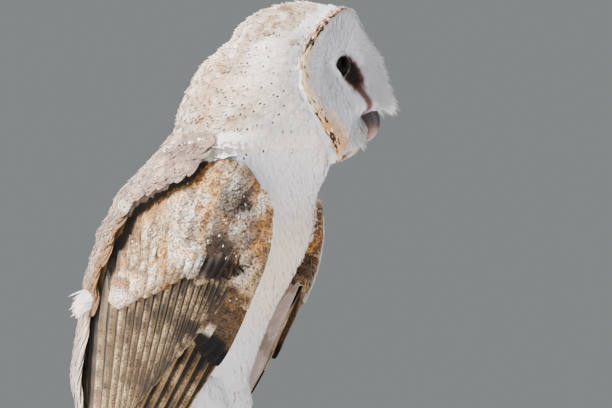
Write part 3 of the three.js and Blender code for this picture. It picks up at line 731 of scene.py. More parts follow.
def feather_mesh(name, places, normals, tints, marks, patches, soften, finish):
    """One mesh of many feathers.

    places is (feathers, rows, columns, 3) in mm, normals the same, tints and marks are (feathers,
    rows, 3), and patches (feathers, 4) are each feather's low corner and size on the export's map.
    soften is how far the light falls on the feathers as on the ground under them.
    """
    count, rows, columns = places.shape[:3]
    block = (np.arange(rows - 1)[:, None] * columns + np.arange(columns - 1)).ravel()
    quad = joined(block, block + 1, block + columns + 1, block + columns)
    middle = rows // 2
    across = places[:, middle, -1] - places[:, middle, 0]
    along = places[:, middle + 1, columns // 2] - places[:, middle - 1, columns // 2]
    if np.mean(np.sum(np.cross(across, along) * normals[:, middle, columns // 2], -1)) < 0:
        quad = quad[:, ::-1]
    corners = (np.arange(count)[:, None, None] * rows * columns + quad).reshape(-1)
    mesh = bpy.data.meshes.new(name)
    mesh.vertices.add(count * rows * columns)
    mesh.vertices.foreach_set("co", (places * MM).ravel())
    mesh.loops.add(len(corners))
    mesh.loops.foreach_set("vertex_index", corners)
    mesh.polygons.add(len(corners) // 4)
    mesh.polygons.foreach_set("loop_start", np.arange(0, len(corners), 4))
    mesh.update(calc_edges=True)
    smooth_shaded(mesh)
    for layer, values in (("tint", tints), ("marks", marks)):
        put_colours(mesh, layer, np.repeat(values[:, :, None], columns, 2))
    u, v = np.meshgrid(np.linspace(0, 1, columns), np.linspace(0, 1, rows))
    vane = joined(u, v) + np.zeros((count, 1, 1, 1))
    bake = patches[:, None, None, :2] + vane * patches[:, None, None, 2:]
    for layer, values in (("OFBake", bake), ("vane", vane)):
        values = values.reshape(-1, 2)[corners]
        mesh.uv_layers.new(name=layer).data.foreach_set("uv", values.ravel())
    own = normals_of(mesh)
    ground = normals.reshape(-1, 3)
    own *= np.where(np.sum(own * ground, -1, keepdims=True) < 0, -1, 1)
    mesh.normals_split_custom_set_from_vertices(unit(lerp(own, ground, soften)).tolist())
    piece = placed(name, mesh)
    piece.data.materials.append(finish)
    return piece


def vanes(spine, normal, width, profile, columns, lift, cup, twist=None):
    """Places and normals for feathers along spines.

    profile is each row's share of width, lift how far the root and tip stand off the ground, cup
    how far the edges fall, and twist turns each feather about its own length, in degrees.
    """
    rows = spine.shape[1]
    share = np.linspace(0, 1, rows)
    width_at = np.interp(share, np.linspace(0, 1, len(profile)), profile)
    along = unit(np.gradient(spine, axis=1))
    side = unit(np.cross(along, normal))
    if twist is not None:
        turn = np.radians(twist)[:, None, None]
        side = side * np.cos(turn) + normal * np.sin(turn)
    s = np.linspace(-1, 1, columns)
    half = width[:, None] * width_at / 2
    rooted, tipped = (np.broadcast_to(end, len(spine))[:, None] for end in lift)
    stand = rooted + (tipped - rooted) * share**1.15
    height = stand[..., None] - cup * half[..., None] * np.abs(s) ** 1.7
    places = (
        spine[:, :, None]
        + side[:, :, None] * (half[..., None] * s)[..., None]
        + normal[:, :, None] * height[..., None]
    )
    return places, np.repeat(normal[:, :, None], columns, 2)


def patches_for(roots, size=PATCH):
    return np.concatenate([unwrapped(roots) - size / 2, np.full((len(roots), 2), size)], 1)


# ---------------------------------------------------------------- finishes
class Finish:
    """A material and a few short ways to join its nodes; names give sockets with _ for a space."""

    def __init__(self, name, **sockets):
        self.material = bpy.data.materials.new(name)
        self.material.use_nodes = True
        self.tree = self.material.node_tree
        self.surface = self.tree.nodes["Principled BSDF"]
        for socket, value in sockets.items():
            self.surface.inputs[socket.replace("_", " ")].default_value = value

    def node(self, kind, settings=(), **inputs):
        made = self.tree.nodes.new(kind)
        for setting, value in dict(settings).items():
            setattr(made, setting, value)
        for socket, value in inputs.items():
            self.put(made.inputs[socket.replace("_", " ")], value)
        return made

    def put(self, socket, value):
        if isinstance(value, bpy.types.NodeSocket):
            self.tree.links.new(value, socket)
        elif hasattr(socket.default_value, "__len__") and not hasattr(value, "__len__"):
            socket.default_value = (value,) * len(socket.default_value)
        else:
            socket.default_value = value

    def maths(self, operation, *values, clamp=False):
        made = self.node("ShaderNodeMath", {"operation": operation, "use_clamp": clamp})
        for socket, value in zip(made.inputs, values):
            self.put(socket, value)
        return made.outputs[0]

    def product(self, a, b, clamp=False):
        return self.maths("MULTIPLY", a, b, clamp=clamp)

    def plus(self, a, b):
        return self.maths("ADD", a, b)

    def minus(self, a, b):
        return self.maths("SUBTRACT", a, b)

    def ramp(self, value, start, end, low=0.0, high=1.0):
        """A soft rise from low, where the value is start, to high, where it is end."""
        made = self.node("ShaderNodeMapRange", {"interpolation_type": "SMOOTHSTEP"}, Value=value)
        limits = {"From Min": start, "From Max": end, "To Min": low, "To Max": high}
        for socket, number in limits.items():
            self.put(made.inputs[socket], number)
        return made.outputs[0]

    def mix(self, share, a, b, way="MIX"):
        made = self.node("ShaderNodeMix", {"data_type": "RGBA", "blend_type": way})
        self.put(made.inputs[0], share)
        for socket, colour in ((made.inputs[6], a), (made.inputs[7], b)):
            self.put(socket, colour if isinstance(colour, bpy.types.NodeSocket) else (*colour, 1))
        return made.outputs[2]

    def times(self, colour, factor):
        """A colour multiplied by one value, or by one number for each of its three parts."""
        if isinstance(factor, bpy.types.NodeSocket):
            factor = self.together(factor, factor, factor)
        return self.mix(1.0, colour, factor, "MULTIPLY")

    def place(self, *stretch):
        """The place on the piece, or that place stretched along its three axes."""
        place = self.node("ShaderNodeTexCoord").outputs["Object"]
        if stretch:
            place = self.node("ShaderNodeMapping", Vector=place, Scale=stretch).outputs[0]
        return place

    def noise(self, scale, detail=2, where=None, roughness=0.55):
        ways = {"Scale": scale, "Detail": detail, "Roughness": roughness}
        return self.node("ShaderNodeTexNoise", Vector=where or self.place(), **ways).outputs["Fac"]

    def parts(self, vector):
        return self.node("ShaderNodeSeparateXYZ", Vector=vector).outputs

    def together(self, x, y, z=0.0):
        return self.node("ShaderNodeCombineXYZ", X=x, Y=y, Z=z).outputs[0]

    def layer(self, name):
        return self.node("ShaderNodeAttribute", {"attribute_name": name}).outputs["Color"]

    def vane(self):
        return self.node("ShaderNodeUVMap", {"uv_map": "vane"}).outputs[0]

    def bump(self, height, strength, depth):
        made = self.node("ShaderNodeBump", Height=height, Strength=strength, Distance=depth)
        self.put(self.surface.inputs["Normal"], made.outputs[0])

    def colour(self, value):
        self.put(self.surface.inputs["Base Color"], value)


def barbs(f, u, v, shaft, along, aside, across):
    """The streaks of barbs that slant up a feather from its shaft, from 0 to 1."""
    from_shaft = f.maths("ABSOLUTE", f.minus(u, shaft))
    slant = f.minus(f.product(v, along), f.product(from_shaft, aside))
    return f.noise(1.0, 2, f.together(slant, f.product(u, across)))


def plumage(name, lines, streak, sheen=0.12, fine=1050, fleck=0.33, dot=1.0, ragged_dots=1.2):
    """Feathers coloured by their own tint, with barbs, fine marbling and a mark near the tip.

    lines is how many barbs show along a feather and streak how strongly, fine the marbling's scale
    and fleck its brightness, dot the marks' size and ragged_dots how uneven their edges are.
    """
    ways = {"Roughness": 0.8, "Specular_IOR_Level": 0.25, "Sheen_Roughness": 0.5}
    f = Finish(name, Sheen_Weight=sheen, **ways)
    u, v, _ = f.parts(f.vane())
    dark, light, marbled = f.parts(f.layer("marks"))
    streaks = barbs(f, u, v, 0.5, lines, lines * 0.9, 2.5)
    brightness = f.ramp(streaks, 0.3, 0.7, 1 - streak, 1 + streak * 0.55)
    marbling = f.ramp(f.noise(fine, 3, roughness=0.62), 0.46, 0.58)
    colour = f.layer("tint")
    share = f.product(marbled, marbling, clamp=True)
    colour = f.mix(share, colour, f.times(colour, (fleck, fleck * 0.94, fleck * 0.94)))
    ragged = f.product(f.minus(f.noise(1500, 1), 0.5), ragged_dots)
    for mark, place, width, size, code in (
        (dark, 0.82, 0.21 * dot, 0.1 * dot, "2b2321"),
        (light, 0.93, 0.18 * dot, 0.05 * dot, "fbf8f6"),
    ):
        gap_u = f.maths("DIVIDE", f.minus(u, 0.5), width)
        gap_v = f.plus(f.maths("DIVIDE", f.minus(v, place), size), ragged)
        away = f.maths("POWER", f.plus(f.maths("POWER", gap_u, 2.0), f.maths("POWER", gap_v, 2.0)), 0.5)
        share = f.product(mark, f.ramp(away, 0.75, 1.15, 1.0, 0.0))
        colour = f.mix(share, colour, shade(code))
    f.colour(f.times(colour, brightness))
    f.bump(streaks, 0.25, 0.0004)
    return f.material


BARS = 4.5  # dark bars along a flight feather


def flight_plumage(name):
    """Long feathers: slanting barbs, cross bars, fine dark marbling and a shadow under each edge."""
    ways = {"Roughness": 0.62, "Specular_IOR_Level": 0.3, "Sheen_Roughness": 0.5}
    f = Finish(name, Sheen_Weight=0.08, **ways)
    u, v, _ = f.parts(f.vane())
    bars, edge, marbled = f.parts(f.layer("marks"))
    streaks = barbs(f, u, v, 0.42, 150, 34, 3.0)
    colour = f.layer("tint")
    marbling = f.ramp(f.noise(950, 3, roughness=0.65), 0.45, 0.56)
    share = f.product(marbled, marbling, clamp=True)
    colour = f.mix(share, colour, f.times(colour, (0.24, 0.2, 0.19)))
    uneven = f.product(f.noise(260, 3), 2.4)
    wave = f.maths("SINE", f.plus(f.product(v, 2 * math.pi * BARS), uneven))
    bar = f.ramp(wave, 0.45, 0.85)
    share = f.product(bars, bar, clamp=True)
    colour = f.mix(share, colour, f.times(colour, (0.36, 0.31, 0.29)))
    rim = f.product(edge, f.ramp(u, 0.2, 0.03, 0.0, 0.5), clamp=True)
    colour = f.mix(rim, colour, shade("a08767"))
    under = f.product(edge, f.ramp(u, 0.31, 0.46, 0.0, 0.97))
    colour = f.mix(under, colour, f.times(colour, (0.1, 0.085, 0.08)))
    # the side that faces the body is paler
    inside = f.node("ShaderNodeNewGeometry").outputs["Backfacing"]
    pale = f.mix(f.product(bar, 0.6), shade("cdb9b0"), shade("85705c"))
    colour = f.mix(inside, colour, pale)
    f.colour(f.times(colour, f.ramp(streaks, 0.3, 0.7, 0.82, 1.1)))
    f.bump(streaks, 0.3, 0.0004)
    return f.material


white_plumage = plumage("white_feathers", 14, 0.07, sheen=0.2)
speckled_plumage = plumage("speckled_feathers", 16, 0.12, fine=800)
marbled_plumage = plumage("marbled_feathers", 20, 0.16, fine=780, fleck=0.2, dot=0.72, ragged_dots=3.0)
long_plumage = flight_plumage("flight_feathers")


# ---------------------------------------------------------------- colours and marks
def patch(x, y, middle, reach, tilt=0.0, soft=0.4, ragged=0.3, seed=1):
    """How far chart places are inside a ragged oval patch, from 0 to 1."""
    turn = math.radians(tilt)
    dx, dy = x - middle[0], y - middle[1]
    across = dx * math.cos(turn) + dy * math.sin(turn)
    down = dy * math.cos(turn) - dx * math.sin(turn)
    away = np.hypot(across / reach[0], down / reach[1])
    grain = joined(x, y, seed * 7.3)
    away = away + ragged * noise(grain, 9, seed, 3)
    return 1 - rise(away, 1 - soft, 1 + soft)


def painted(base, x, y, patches):
    """A base colour with each patch laid over: middle, reach, tilt, colour, strength."""
    tint = np.broadcast_to(base, (*x.shape, 3))
    for number, (middle, reach, tilt, code, strength) in enumerate(patches):
        share = patch(x, y, middle, reach, tilt, seed=number + 3)[..., None] * strength
        tint = lerp(tint, shade(code), share)
    return tint


# the breast's white is a little darker and bluer than WHITE: painted shade
WHITE, SILK_IN_SHADE = shade("f3efec"), shade("e6e4e8")
# Patches of colour on the chart: middle, reach, tilt in degrees, colour, strength.
HEAD_PATCHES = [
    ((283, 22), (38, 16), -20, "a99a8c", 0.85),  # crown
    ((262, 30), (20, 14), -40, "94877c", 0.8),
    ((275, 14), (9, 5), 10, "ae927a", 0.8),
    ((287, 16), (8, 6), 60, "7d6752", 0.8),
    ((265, 27), (11, 4.5), 10, "947a64", 0.9),
    ((294, 48), (5, 5), 0, "927c64", 0.8),
    ((330, 10), (20, 6), 15, "c8b49c", 0.6),
    ((234, 60), (20, 26), 35, "a99d91", 0.85),  # back of the head
    ((200, 100), (26, 40), 22, "b0a192", 0.9),  # nape
    ((224, 118), (36, 26), -8, "b3a595", 0.75),
    ((180, 128), (16, 34), 12, "8f837c", 0.85),
    ((246, 92), (26, 14), 20, "d9c9b6", 0.4),
]


def head_tint(points, seed=11):
    x, y = chart(points)
    grain = 0.5 + 0.5 * noise(points, 5.5, seed, 3)[..., None]
    fine = noise(points, 1.9, seed + 5, 2)[..., None]
    tint = painted(WHITE, x, y, HEAD_PATCHES)
    tint = lerp(tint, WHITE, np.clip(grain * 1.7 - 0.75, 0, 0.75))
    return lerp(tint, tint**1.9, np.clip(fine * 1.8, 0, 0.9))


def breast_tint(points):
    x, y = chart(points)
    grain = noise(points, 14, 5, 2)[..., None]
    warm = patch(x, y, (285, 270), (50, 60), 0, 0.6)[..., None] * 0.6
    tint = lerp(np.broadcast_to(SILK_IN_SHADE, points.shape), shade("ecdccb"), warm)
    return tint * (1 + 0.025 * grain)


WING_PATCHES = [
    ((150, 232), (60, 60), 0, "b3a89e", 0.7),
    ((170, 190), (40, 20), -35, "bda78c", 0.6),
    ((205, 195), (34, 26), 30, "cdbb9f", 0.8),
    ((195, 212), (16, 22), 35, "ece4da", 0.8),
    ((150, 215), (20, 12), -30, "c0a27c", 0.6),
    ((135, 240), (22, 12), 35, "a98e70", 0.6),
    ((172, 240), (14, 20), 30, "c6b39a", 0.7),
    ((225, 165), (24, 13), -12, "efe2d0", 0.9),
    ((242, 158), (17, 9), -15, "e8d5bf", 0.8),
    ((248, 172), (15, 9), 30, "86766c", 0.85),
    ((255, 190), (9, 14), 20, "c9a27c", 0.7),
    ((236, 201), (16, 24), 28, "85807b", 0.95),
    ((248, 206), (7, 7), 0, "413837", 0.85),
    ((225, 225), (15, 15), 30, "8b7f79", 0.85),
    ((266, 214), (10, 30), 14, "ceb297", 0.95),
    ((264, 236), (6, 18), 14, "b59a82", 0.8),
    ((252, 232), (8, 20), 14, "8a7c74", 0.9),
    ((244, 262), (14, 12), 20, "c9ab88", 0.8),
    ((250, 268), (9, 10), 10, "ead9c4", 0.6),
    ((196, 256), (11, 18), 30, "f2eeea", 0.95),
    ((222, 256), (23, 24), 20, "4a3f38", 0.98),
    ((224, 270), (20, 12), 10, "1c1512", 0.98),
    ((160, 262), (18, 16), 25, "b5a187", 0.6),
    ((122, 288), (9, 22), 25, "f1ece6", 0.95),
    # these two lie under the cape's hem: brown that is partly the coverts' own colour and partly painted
    # shade
    ((104, 262), (8, 30), 20, "96704a", 0.8),
    ((112, 248), (12, 8), -40, "57402c", 0.7),
    ((235, 290), (18, 20), 25, "6b5644", 0.9),
    ((248, 283), (9, 9), 25, "d9c4ab", 0.85),
    ((203, 331), (8, 4), -20, "e8dccd", 0.9),
]


def covert_lean(x):
    """How far the wing's feathers lean from upright, by chart step across."""
    return np.radians(lerp(6, 33, rise(x, 90, 255)))


# Chart steps down and across, where the cape's lower edge shows.
MANTLE_HEM = [
    (146, 222), (160, 205), (178, 193), (192, 166), (205, 142), (222, 127), (235, 121),
    (260, 108), (284, 99), (300, 95), (314, 92),
]
mantle_hem_at = through(MANTLE_HEM)


def wing_tint(points, seed=21):
    """The folded wing's colours: patches, streaks down it, and the shadow under the cape's hem."""
    x, y = chart(points)
    tint = painted(shade("c9b9a6"), x, y, WING_PATCHES)
    # streaks run down the wing, along the lie of its feathers
    lean = covert_lean(x)
    along = (x * np.sin(lean) - y * np.cos(lean)) / 32
    across = (x * np.cos(lean) + y * np.sin(lean)) / 8.5
    streak = noise(joined(across, along, 0), 1.0, seed, 3)[..., None]
    buff = noise(joined(across * 0.8, along * 1.3, 4.2), 1.0, seed + 3, 2)[..., None]
    dark_stays = rise(tint.mean(-1, keepdims=True), 0.1, 0.36)
    tint = lerp(tint, shade("c99a66"), np.clip(buff * 1.6 - 0.2, 0, 0.6) * dark_stays)
    tint = lerp(tint, shade("f6f1eb"), np.clip(streak * 2.1 - 0.3, 0, 0.75) * dark_stays)
    tint = lerp(tint, tint * np.array([0.32, 0.28, 0.27]), np.clip(-streak * 2.4 - 0.25, 0, 0.85))
    # under the cape's hem: a painted deep shadow, then speckled brown that is partly the coverts' own colour
    # and partly painted shade
    from_hem = x - mantle_hem_at(y) + 2.5 * noise(points, 5, seed + 8, 2)
    speckle = np.clip(0.5 + 1.6 * noise(points, 1.6, seed + 9, 2), 0, 1)[..., None]
    below = ((1 - rise(from_hem, 11, 32)) * rise(y, 146, 168))[..., None]
    tint = lerp(tint, lerp(shade("a98156"), shade("4a3524"), speckle), below * 0.9)
    deep = rise(y, 168, 225)
    black = (1 - rise(from_hem, 4 + 8 * deep, 9 + 12 * deep)) * rise(y, 146, 160)
    return lerp(tint, shade("17100b"), black[..., None] * 0.95)


def lead_step(y):
    """The chart step across where the folded wing's leading edge shows."""
    z = CHART_TOP - np.asarray(y, float) * CHART
    steps, _ = chart(on_wing(z, lead_at(z), 0.0))
    return steps


# Chart steps down, and the width of the folded wing's white leading edge.
MARGIN = [
    (140, 46), (150, 42), (160, 36), (170, 28), (182, 15), (190, 10), (200, 6.5), (215, 3.2), (400, 3),
]
margin_at = through(MARGIN)


def wing_margin(points):
    """How far places are inside the white edge of the folded wing, from 0 to 1."""
    x, y = chart(points)
    width = margin_at(y) * (1 + 0.25 * noise(points, 5, 31))
    return 1 - rise(lead_step(y) - x, width * 0.8, width * 1.1)


def mantle_tint(points, seed=41):
    """The cape's grey-brown, with pale and dark lumps and an orange-buff hem."""
    x, y = chart(points)
    lumps = noise(points, 8, seed, 3)[..., None]
    fine = noise(points, 1.7, seed + 7, 2)[..., None]
    tint = lerp(shade("b1a39d"), shade("857973"), np.clip(0.5 + lumps, 0, 1))
    tint = lerp(tint, shade("c2b2a2"), np.clip(-lumps * 1.6 - 0.1, 0, 0.7))
    tint = lerp(tint, tint**1.9, np.clip(fine * 1.8, 0, 0.9))
    tint = lerp(tint, shade("e6ddd6"), patch(x, y, (130, 208), (9, 5), 40, 0.6)[..., None] * 0.65)
    # darker low on the cape and towards the back: painted shade
    tint = tint * (1 - 0.3 * rise(y, 240, 280) * (1 - rise(x, 110, 130)))[..., None]
    inside = mantle_hem_at(y) - x + 2 * noise(points, 4, seed + 2)
    return lerp(tint, shade("7f6852"), ((1 - rise(inside, 3, 9)) * rise(y, 205, 228))[..., None] * 0.9)


# ---------------------------------------------------------------- the coat over the skin
skin_ground = Ground(skin.data)


def on_disc(points, normals):
    """Whether places are on the facial disc's front, inside its rim."""
    share, ahead = face_share(points)
    return (share < 0.99) & (ahead > 0.8) & (normals[:, 0] > -0.1)


def from_centre(points):
    """How far forward, left and up points are from the body's centre line, without the head's turn."""
    straight = turned(points, -1)
    return straight[..., 0] - centre_at(straight[..., 2]), straight[..., 1], straight[..., 2]


def around_body(points):
    """Angle from straight ahead in degrees, and distance out from the body's section in mm."""
    forward, y, z = from_centre(points)
    angle = np.arctan2(np.abs(y), forward)
    section = from_centre(on_body(z, angle))
    return np.degrees(angle), np.hypot(forward, y) - np.hypot(section[0], section[1])


def outward(points, normals):
    """How squarely normals face away from the body's centre line, from -1 to 1."""
    forward, y, _ = from_centre(points)
    return np.sum(unit(joined(forward, y)) * normals[..., :2], -1)


def wing_zone(points, normals):
    """Whether places are on the outer face of a folded wing's flesh."""
    degrees, off = around_body(points)
    z = points[:, 2]
    on = (z < BED_TOP_Z + 1) & (z > BED_END_Z) & (degrees > lead_at(z) - 1) & (degrees < trail_at(z) + 6)
    return on & (off > 1.2) & (outward(points, normals) > -0.25)


def body_lie(places, normals):
    """Down the body, and back over the head."""
    z = places[:, 2:3]
    head = rise(z, 296, 350)
    low = 1 - rise(z, 130, 190)
    way = np.concatenate([-0.12 - 1.0 * head - 0.4 * low, 0 * z, -1 + 0.45 * head], 1)
    return unit(way - normals * np.sum(way * normals, -1, keepdims=True))


def free_spines(roots, normals, flow, lengths, steps, stand):
    """Middle lines that leave the ground by stand, as bristles do, and droop a little."""
    way = unit(unit(flow(roots, normals)) + normals * stand)
    share = np.linspace(0, 1, steps + 1)
    droop = (share**2)[None, :, None] * np.array([0, 0, -0.14])
    spine = roots[:, None] + (way[:, None] * share[None, :, None] + droop) * lengths[:, None, None]
    flat = unit(normals - way * np.sum(way * normals, -1, keepdims=True))
    return spine, np.repeat(flat[:, None], steps + 1, 1)


def mirrored_feathers(places, normals):
    """The right side's feathers, for the left side."""
    swapped = other_side(places)
    return swapped, other_side(places + normals) - swapped


def lay_coat(
    name, ground, spacing, where, flow, length, width, tint, finish, seed, *, rows=5, columns=3,
    profile=CONTOUR, lift=(0.3, 2.8), uneven=0.35, cup=0.25, twist=7, wander=12, wander_size=18, vary=0.18,
    vary_tint=0.05, marks=None, soften=0.6, free=0, mirrored=False,
):
    """Scatters feathers over part of a ground and makes them one piece.

    length, width and the tips' lift are numbers or functions of the roots. uneven is how much the
    lift varies, twist the turn about each feather's length, wander how far the lie strays in
    degrees, and wander_size over what distance. free lets the feathers leave the ground.
    """
    rng = np.random.default_rng(seed)
    roots, root_normals = ground.scatter(spacing, where, seed)
    count = len(roots)

    def at_roots(measure):
        return measure(roots) if callable(measure) else measure

    lengths = at_roots(length) * (1 + vary * (rng.random(count) * 2 - 1))
    widths = at_roots(width) * (1 + vary * (rng.random(count) * 2 - 1))
    flow = wandering(flow, wander_size, wander, seed)
    if free:
        spine, normal = free_spines(roots, root_normals, flow, lengths, rows - 1, free)
    else:
        spine, normal = ground.spines(roots, flow, lengths, rows - 1)
    tip = at_roots(lift[1]) + uneven * rng.standard_normal(count)
    turn = twist * rng.standard_normal(count)
    places, normals = vanes(spine, normal, widths, profile, columns, (lift[0], tip), cup, turn)
    colour = rich(tint(spine)) * (1 + vary_tint * rng.standard_normal((count, 1, 1)))
    marks = marks(spine, rng) if marks else np.zeros_like(colour)
    if mirrored:
        places, normals = mirrored_feathers(places, normals)
        roots = other_side(roots)
    patches = patches_for(roots)
    return feather_mesh(name, places, normals, np.clip(colour, 0, 1), marks, patches, soften, finish)


# ---------------------------------------------------------------- face
def head_straight(places):
    """Places with the head turned straight, and which side of it each is on."""
    straight = turned(places, -1)
    return straight, np.where(straight[:, 1] < 0, -1.0, 1.0)


def with_head(straight, x, y, z):
    """A way given for the straight head, turned as the head is."""
    way = joined(x, y, z)
    return turned(straight + way) - turned(straight)


def face_lie(places, normals):
    """Out from the eyes over the disc, forwards and down off the ridge, and down beside the bill."""
    straight, side = head_straight(places)
    from_eye = straight - EYE_CENTRE * joined(1, side, 1)
    y, z = np.abs(straight[:, 1]), straight[:, 2]
    share, _ = face_share(places)
    ridge = (1 - rise(y, ridge_edge(z) - 1.5, ridge_edge(z) + 1)) * (1 - rise(z, 380, 394))
    radiate = unit(from_eye * np.array([0.3, 1, 1]))
    low = 1 - rise(z, 322, 348)
    # near the rim's lower half the feathers turn to follow it
    along_rim = joined(0, -side * 0.5, -1)
    radiate = radiate + along_rim * (0.9 * low * rise(share, 0.55, 0.95))[:, None]
    beside = (1 - rise(y, 10, 22)) * (1 - rise(z, 338, 350))
    way = lerp(unit(radiate), joined(0.2, side * 0.3, -1), beside[:, None])
    crest = joined(0.8, side * 0.12, -0.55 + 1.1 * rise(z, 352, 388))
    way = lerp(way, crest, ridge[:, None])
    way = lerp(way, np.array([0.3, 0, -1]), (0.8 * dark_line(y, z))[:, None])
    return with_head(straight, *way.T)


def ridge_edge(z):
    """How far out the ridge between the eyes reaches, to the dark line at its foot."""
    return 5.6 + 0.27 * np.clip(z - 338, 0, 26)


def dark_line(y, z):
    """How near places are to the dark line from the eye to the bill, from 0 to 1."""
    return np.exp(-(((y - ridge_edge(z)) / 2.6) ** 2)) * rise(z, 331, 335) * (1 - rise(z, 368, 376))


def face_tint(points):
    """The white disc, with rust near its lower rim, dark marks by the eyes and bill, and the lids."""
    share, _ = face_share(points)
    y, z = aside_and_up(points)
    # the disc's white is a little darker and bluer than WHITE: painted shade
    tint = np.broadcast_to(shade("eeedf1"), points.shape)
    low = 1 - rise(z, 318, 347)
    chin = 1 - rise(y, 6, 17)
    inner = lerp(0.955, 0.78, low)
    turn = np.arctan2(y, z - DISC_Z)
    rays = joined(turn * DISC_HALF_WIDTH / 7, share * DISC_HALF_WIDTH / 1.3, 0)
    fine = noise(rays, 1.0, 3, 2)
    rust = rise(share + 0.05 * fine * low, inner, inner + lerp(0.04, 0.17, low)) * (1 - 0.9 * chin)
    tint = lerp(tint, shade("e0bd95"), (rust * lerp(0.35, 0.75, low))[..., None])
    # the dark line beside the ridge, and the dark round the eye's inner corner
    from_line = (y - ridge_edge(z)) / lerp(1.0, 1.6, rise(z, 338, 352))
    streak = np.exp(-(from_line**2)) * rise(z, 330, 335) * (1 - rise(z, 352, 366))
    brown = lerp(shade("6f544c"), shade("45302b"), rise(z, 340, 354)[..., None])
    tint = lerp(tint, brown, np.clip(streak * 1.25, 0, 0.92)[..., None])
    middle = 11.4 + 0.15 * (z - 358)
    dark = np.hypot((y - middle) / 4.8, (z - 359) / 10.5) + 0.2 * noise(points, 2.5, 9)
    tint = lerp(tint, shade("6b4a42"), (1 - rise(dark, 0.7, 1.35))[..., None])
    tint = lerp(tint, shade("17100f"), (1 - rise(dark, 0.5, 1.1))[..., None])
    # the lids: dark above and towards the bill, with a pale crescent low at the front
    away, up = near_eye(points)
    nasal = 1 - rise(y, 18, 22)
    above = rise(up, -28, -12)
    edge = 1 - rise(away, lerp(1.02, 1.1, nasal), lerp(1.12, 1.27, nasal))
    tint = lerp(tint, shade("2a1e1b"), (edge * above)[..., None])
    return lerp(tint, shade("4a4146"), (edge * (1 - above) * nasal)[..., None])


def face_room(points, normals):
    """The disc inside its rim, but for the eyes' openings and the bill's base."""
    away, _ = near_eye(points)
    share, _ = face_share(points)
    y, z = aside_and_up(points)
    bill = (y < 3.2) & (z < 337) & (z > 320)
    return on_disc(points, normals) & (away > 1.1) & (share < 0.965) & ~bill


def hair_length(roots):
    away, _ = near_eye(roots)
    share, _ = face_share(roots)
    full = np.minimum(2.2 + 7.0 * rise(away, 1.1, 3.0), 2.4 + 42 * (1.0 - share)).clip(2.0, 9.5)
    return lerp(full, 2.6, dark_line(*aside_and_up(roots)))


def hair_lift(roots):
    away, _ = near_eye(roots)
    share, _ = face_share(roots)
    full = 0.3 + 2.2 * rise(away, 1.1, 2.4) * (1 - 0.8 * rise(share, 0.86, 0.96))
    return lerp(full, 0.8, dark_line(*aside_and_up(roots)))


face_coat = lay_coat(
    "face_feathers", skin_ground, 0.74, face_room, face_lie, hair_length, 0.6, face_tint,
    white_plumage, 101, profile=HAIR, columns=2, lift=(0.15, hair_lift), uneven=0.3, cup=0.0,
    twist=22, soften=0.72, wander=10, wander_size=7,
)


def fringe_room(points, normals):
    y, z = aside_and_up(points)
    near = y < np.minimum(ridge_edge(z) - 2.4, 6.0)
    return on_disc(points, normals) & near & (z > 337.5) & (z < 388) & (normals[:, 2] > -0.6)


def fringe_lie(places, normals):
    straight, side = head_straight(places)
    up = rise(straight[:, 2], 350, 388)
    return with_head(straight, 0.75, side * 0.15, -0.6 + 0.85 * up)


def fringe_length(roots):
    z = roots[:, 2]
    return (4.6 + 2.2 * (1 - rise(z, 338, 366))) * (1 - 0.7 * rise(z, 366, 386))


def curtain_room(points, normals):
    y, z = aside_and_up(points)
    return on_disc(points, normals) & (y > 3.0) & (y < 14) & (z < 333) & (z > 320)


def curtain_lie(places, normals):
    straight, side = head_straight(places)
    ahead = 1 - rise(np.abs(straight[:, 1]), 5, 15)
    return with_head(straight, 0.1 + 0.4 * ahead, side * (0.12 + 0.1 * ahead), -1)


def plain(colour):
    """A tint function for feathers of one colour."""
    return lambda points: np.broadcast_to(colour, points.shape)


bristles = dict(
    profile=HAIR, columns=2, rows=6, uneven=0.4, cup=0.0, twist=30, soften=0.85, vary_tint=0.02
)
bristle_tint = plain(shade("f4f3f5"))
face_fringe = [
    lay_coat(
        "ridge_fringe", skin_ground, 0.55, fringe_room, fringe_lie, fringe_length, 0.34, bristle_tint,
        white_plumage, 103, lift=(0, 0.3), free=0.42, wander=24, wander_size=2.5, vary=0.5, **bristles,
    ),
    lay_coat(
        "bill_curtain", skin_ground, 0.8, curtain_room, curtain_lie, 7.4, 0.5, bristle_tint,
        white_plumage, 107, lift=(0, 0.5), free=0.35, wander=14, wander_size=5, vary=0.25, **bristles,
    ),
]


# ---------------------------------------------------------------- ruff
RUFF_ROWS = (-4.4, -3.4, -2.3, -1.3, -0.3, 0.7, 1.7, 2.8, 3.9, 5.1, 6.4, 7.8)  # mm in from the lip
RUFF_STEPS = 165


